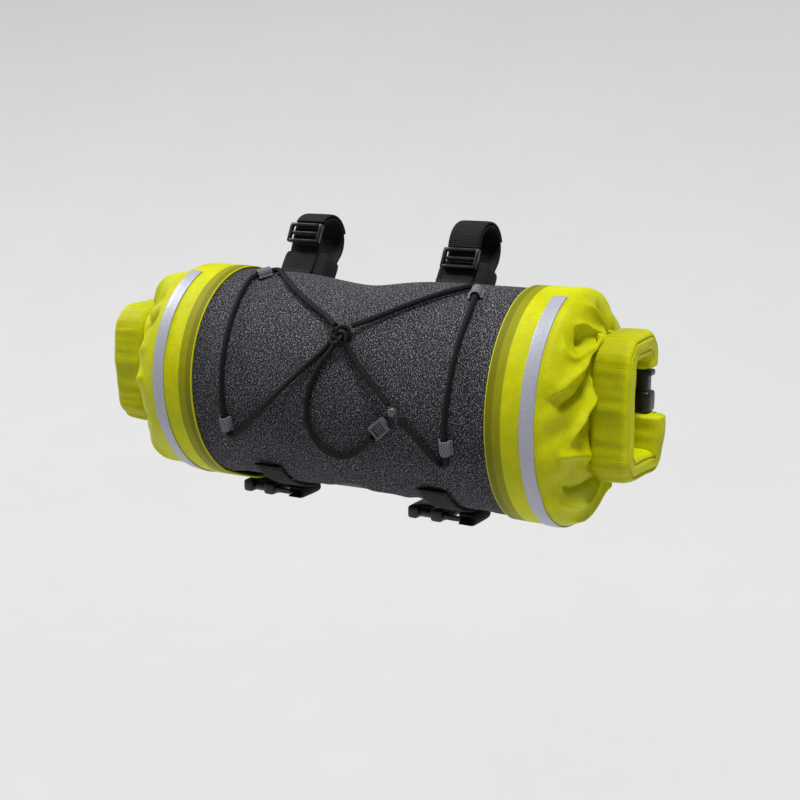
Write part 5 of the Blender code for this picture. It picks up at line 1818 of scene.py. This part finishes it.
def stitch_mesh(name, rows):
    """Spindles: the radius is the square root of 1 - t^4 along each stitch."""
    centres, along, normal = (np.concatenate(parts) for parts in zip(*rows))
    side = np.cross(along, normal)
    t = np.linspace(-1, 1, 5)
    radius = np.sqrt(np.clip(1 - t ** 4, 0.08, 1)) * STITCH_WIDTH / 2
    turn = np.linspace(0, 2 * math.pi, 6, endpoint=False)
    ring = (side[:, None, None, :] * np.cos(turn)[None, None, :, None]
            + normal[:, None, None, :] * np.sin(turn)[None, None, :, None])
    points = (centres[:, None, None, :]
              + along[:, None, None, :] * (t * STITCH_LENGTH / 2)[None, :, None, None]
              + ring * radius[None, :, None, None])
    one = grid_faces(5, 6, True)
    caps = np.array(((3, 2, 1, 0), (5, 4, 3, 0), (24, 25, 26, 27), (24, 27, 28, 29)))
    one = np.concatenate((one, caps))
    faces = (one[None, :, :] + 30 * np.arange(len(centres))[:, None, None]).reshape(-1, 4)
    flat = points.reshape(-1, 3)
    return link_mesh(name, flat, faces, flat[faces.ravel()][:, :2], THREAD)


def tab_stitches(place_name):
    """One row on each foot of a cord tab."""
    place, axis, across, normal = tab_frame(place_name)
    length, width, wall = CORD_TAB
    level = GAP + wall + STITCH_PROUD
    rows = []
    for offset in (-width / 2 + TAB_STITCH_INSET, width / 2 - TAB_STITCH_INSET):
        middle = place + across * offset + normal * level
        reach = axis * length * TAB_STITCH_SHARE
        rows.append(stitch_row(middle - reach, middle + reach, normal))
    return rows


tab_rows = [row for place_name in CORD_TAB_PLACE for row in tab_stitches(place_name)]
tab_thread = stitch_mesh("cord_tab_stitches", tab_rows)
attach(tab_thread, "root")
print("stitches on the cord tabs", sum(len(row[0]) for row in tab_rows))

# %% Stitches on the webbing


def underside_rows(side):
    """A box of stitches with a cross at the front end of each underside tab."""
    rows = []
    corners = {}
    for name, angle in (("top", TAB_TOP_ANGLE - 2.5), ("low", TAB_TOP_ANGLE - 16.0)):
        for end in (-1, 1):
            place, normal, _, _ = surface_frame(TAB_PLACE[side] + end * TAB_WIDTH * 0.40, angle)
            corners[name, end] = (place + normal * (GAP + WEBBING + STITCH_PROUD), normal)
    pairs = ((("top", -1), ("top", 1)), (("low", -1), ("low", 1)), (("top", -1), ("low", -1)),
             (("top", 1), ("low", 1)), (("top", -1), ("low", 1)), (("top", 1), ("low", -1)))
    for first, second in pairs:
        rows.append(stitch_row(corners[first][0], corners[second][0], corners[first][1]))
    return rows


def foot_rows(side):
    """Two rows across each foot of a bar strap."""
    rows = []
    middle = STRAP_MIDDLE[side] - PANEL_MIDDLE
    for way in (-1, 1):
        for deep in (0.0030, 0.0065):
            angle = BAR_ANGLE + way * foot_angle(deep)
            ends = []
            for end in (-1, 1):
                place, normal, _, _ = surface_frame(middle + end * WEBBING_WIDTH * 0.42, angle)
                ends.append(place + normal * (GAP + WEBBING + STITCH_PROUD))
            rows.append(stitch_row(ends[0], ends[1], normal))
    return rows


webbing_rows = [row for side in SIDES for row in underside_rows(side) + foot_rows(side)]
webbing_thread = stitch_mesh("webbing_stitches", webbing_rows)
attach(webbing_thread, "root")
print("stitches on the webbing", sum(len(row[0]) for row in webbing_rows))

# %% [markdown]
# ## Floor and backdrop
#
# The bag hangs from its handlebar mount, about a metre over the ground. One sheet makes
# floor and backdrop: flat under the bag and curved up behind, with no edge in the view.

# %% Floor and backdrop
FLOOR_DROP = 1.10
FLOOR_REACH = 9.0
SWEEP_START = 1.5
SWEEP_RADIUS = 4.2
SWEEP_TURN = math.radians(72.0)


def backdrop():
    """A profile that is level, then turns up through a quarter circle, swept along X."""
    turn = np.linspace(0, SWEEP_TURN, 40)
    y = np.concatenate(([-FLOOR_REACH], SWEEP_START + SWEEP_RADIUS * np.sin(turn)))
    z = np.concatenate(([0.0], SWEEP_RADIUS - SWEEP_RADIUS * np.cos(turn))) - FLOOR_DROP
    x = np.linspace(-FLOOR_REACH, FLOOR_REACH, 3)
    points = np.stack(np.broadcast_arrays(x[:, None], y[None, :], z[None, :]), axis=-1)
    paint, tree, shader, uv, place = new_material("pale studio paper", 0.9, 0.2)
    uneven = unevenness(tree, place, 0.6)
    tree.put(shader.inputs["Base Color"],
             tree.mix(uneven, (0.47, 0.47, 0.47, 1), (0.51, 0.51, 0.51, 1)))
    return sheet_mesh("studio_floor", points, paint, 0.002, (0.0, -0.3, 1.0))


backdrop()
print("floor at", -FLOOR_DROP)
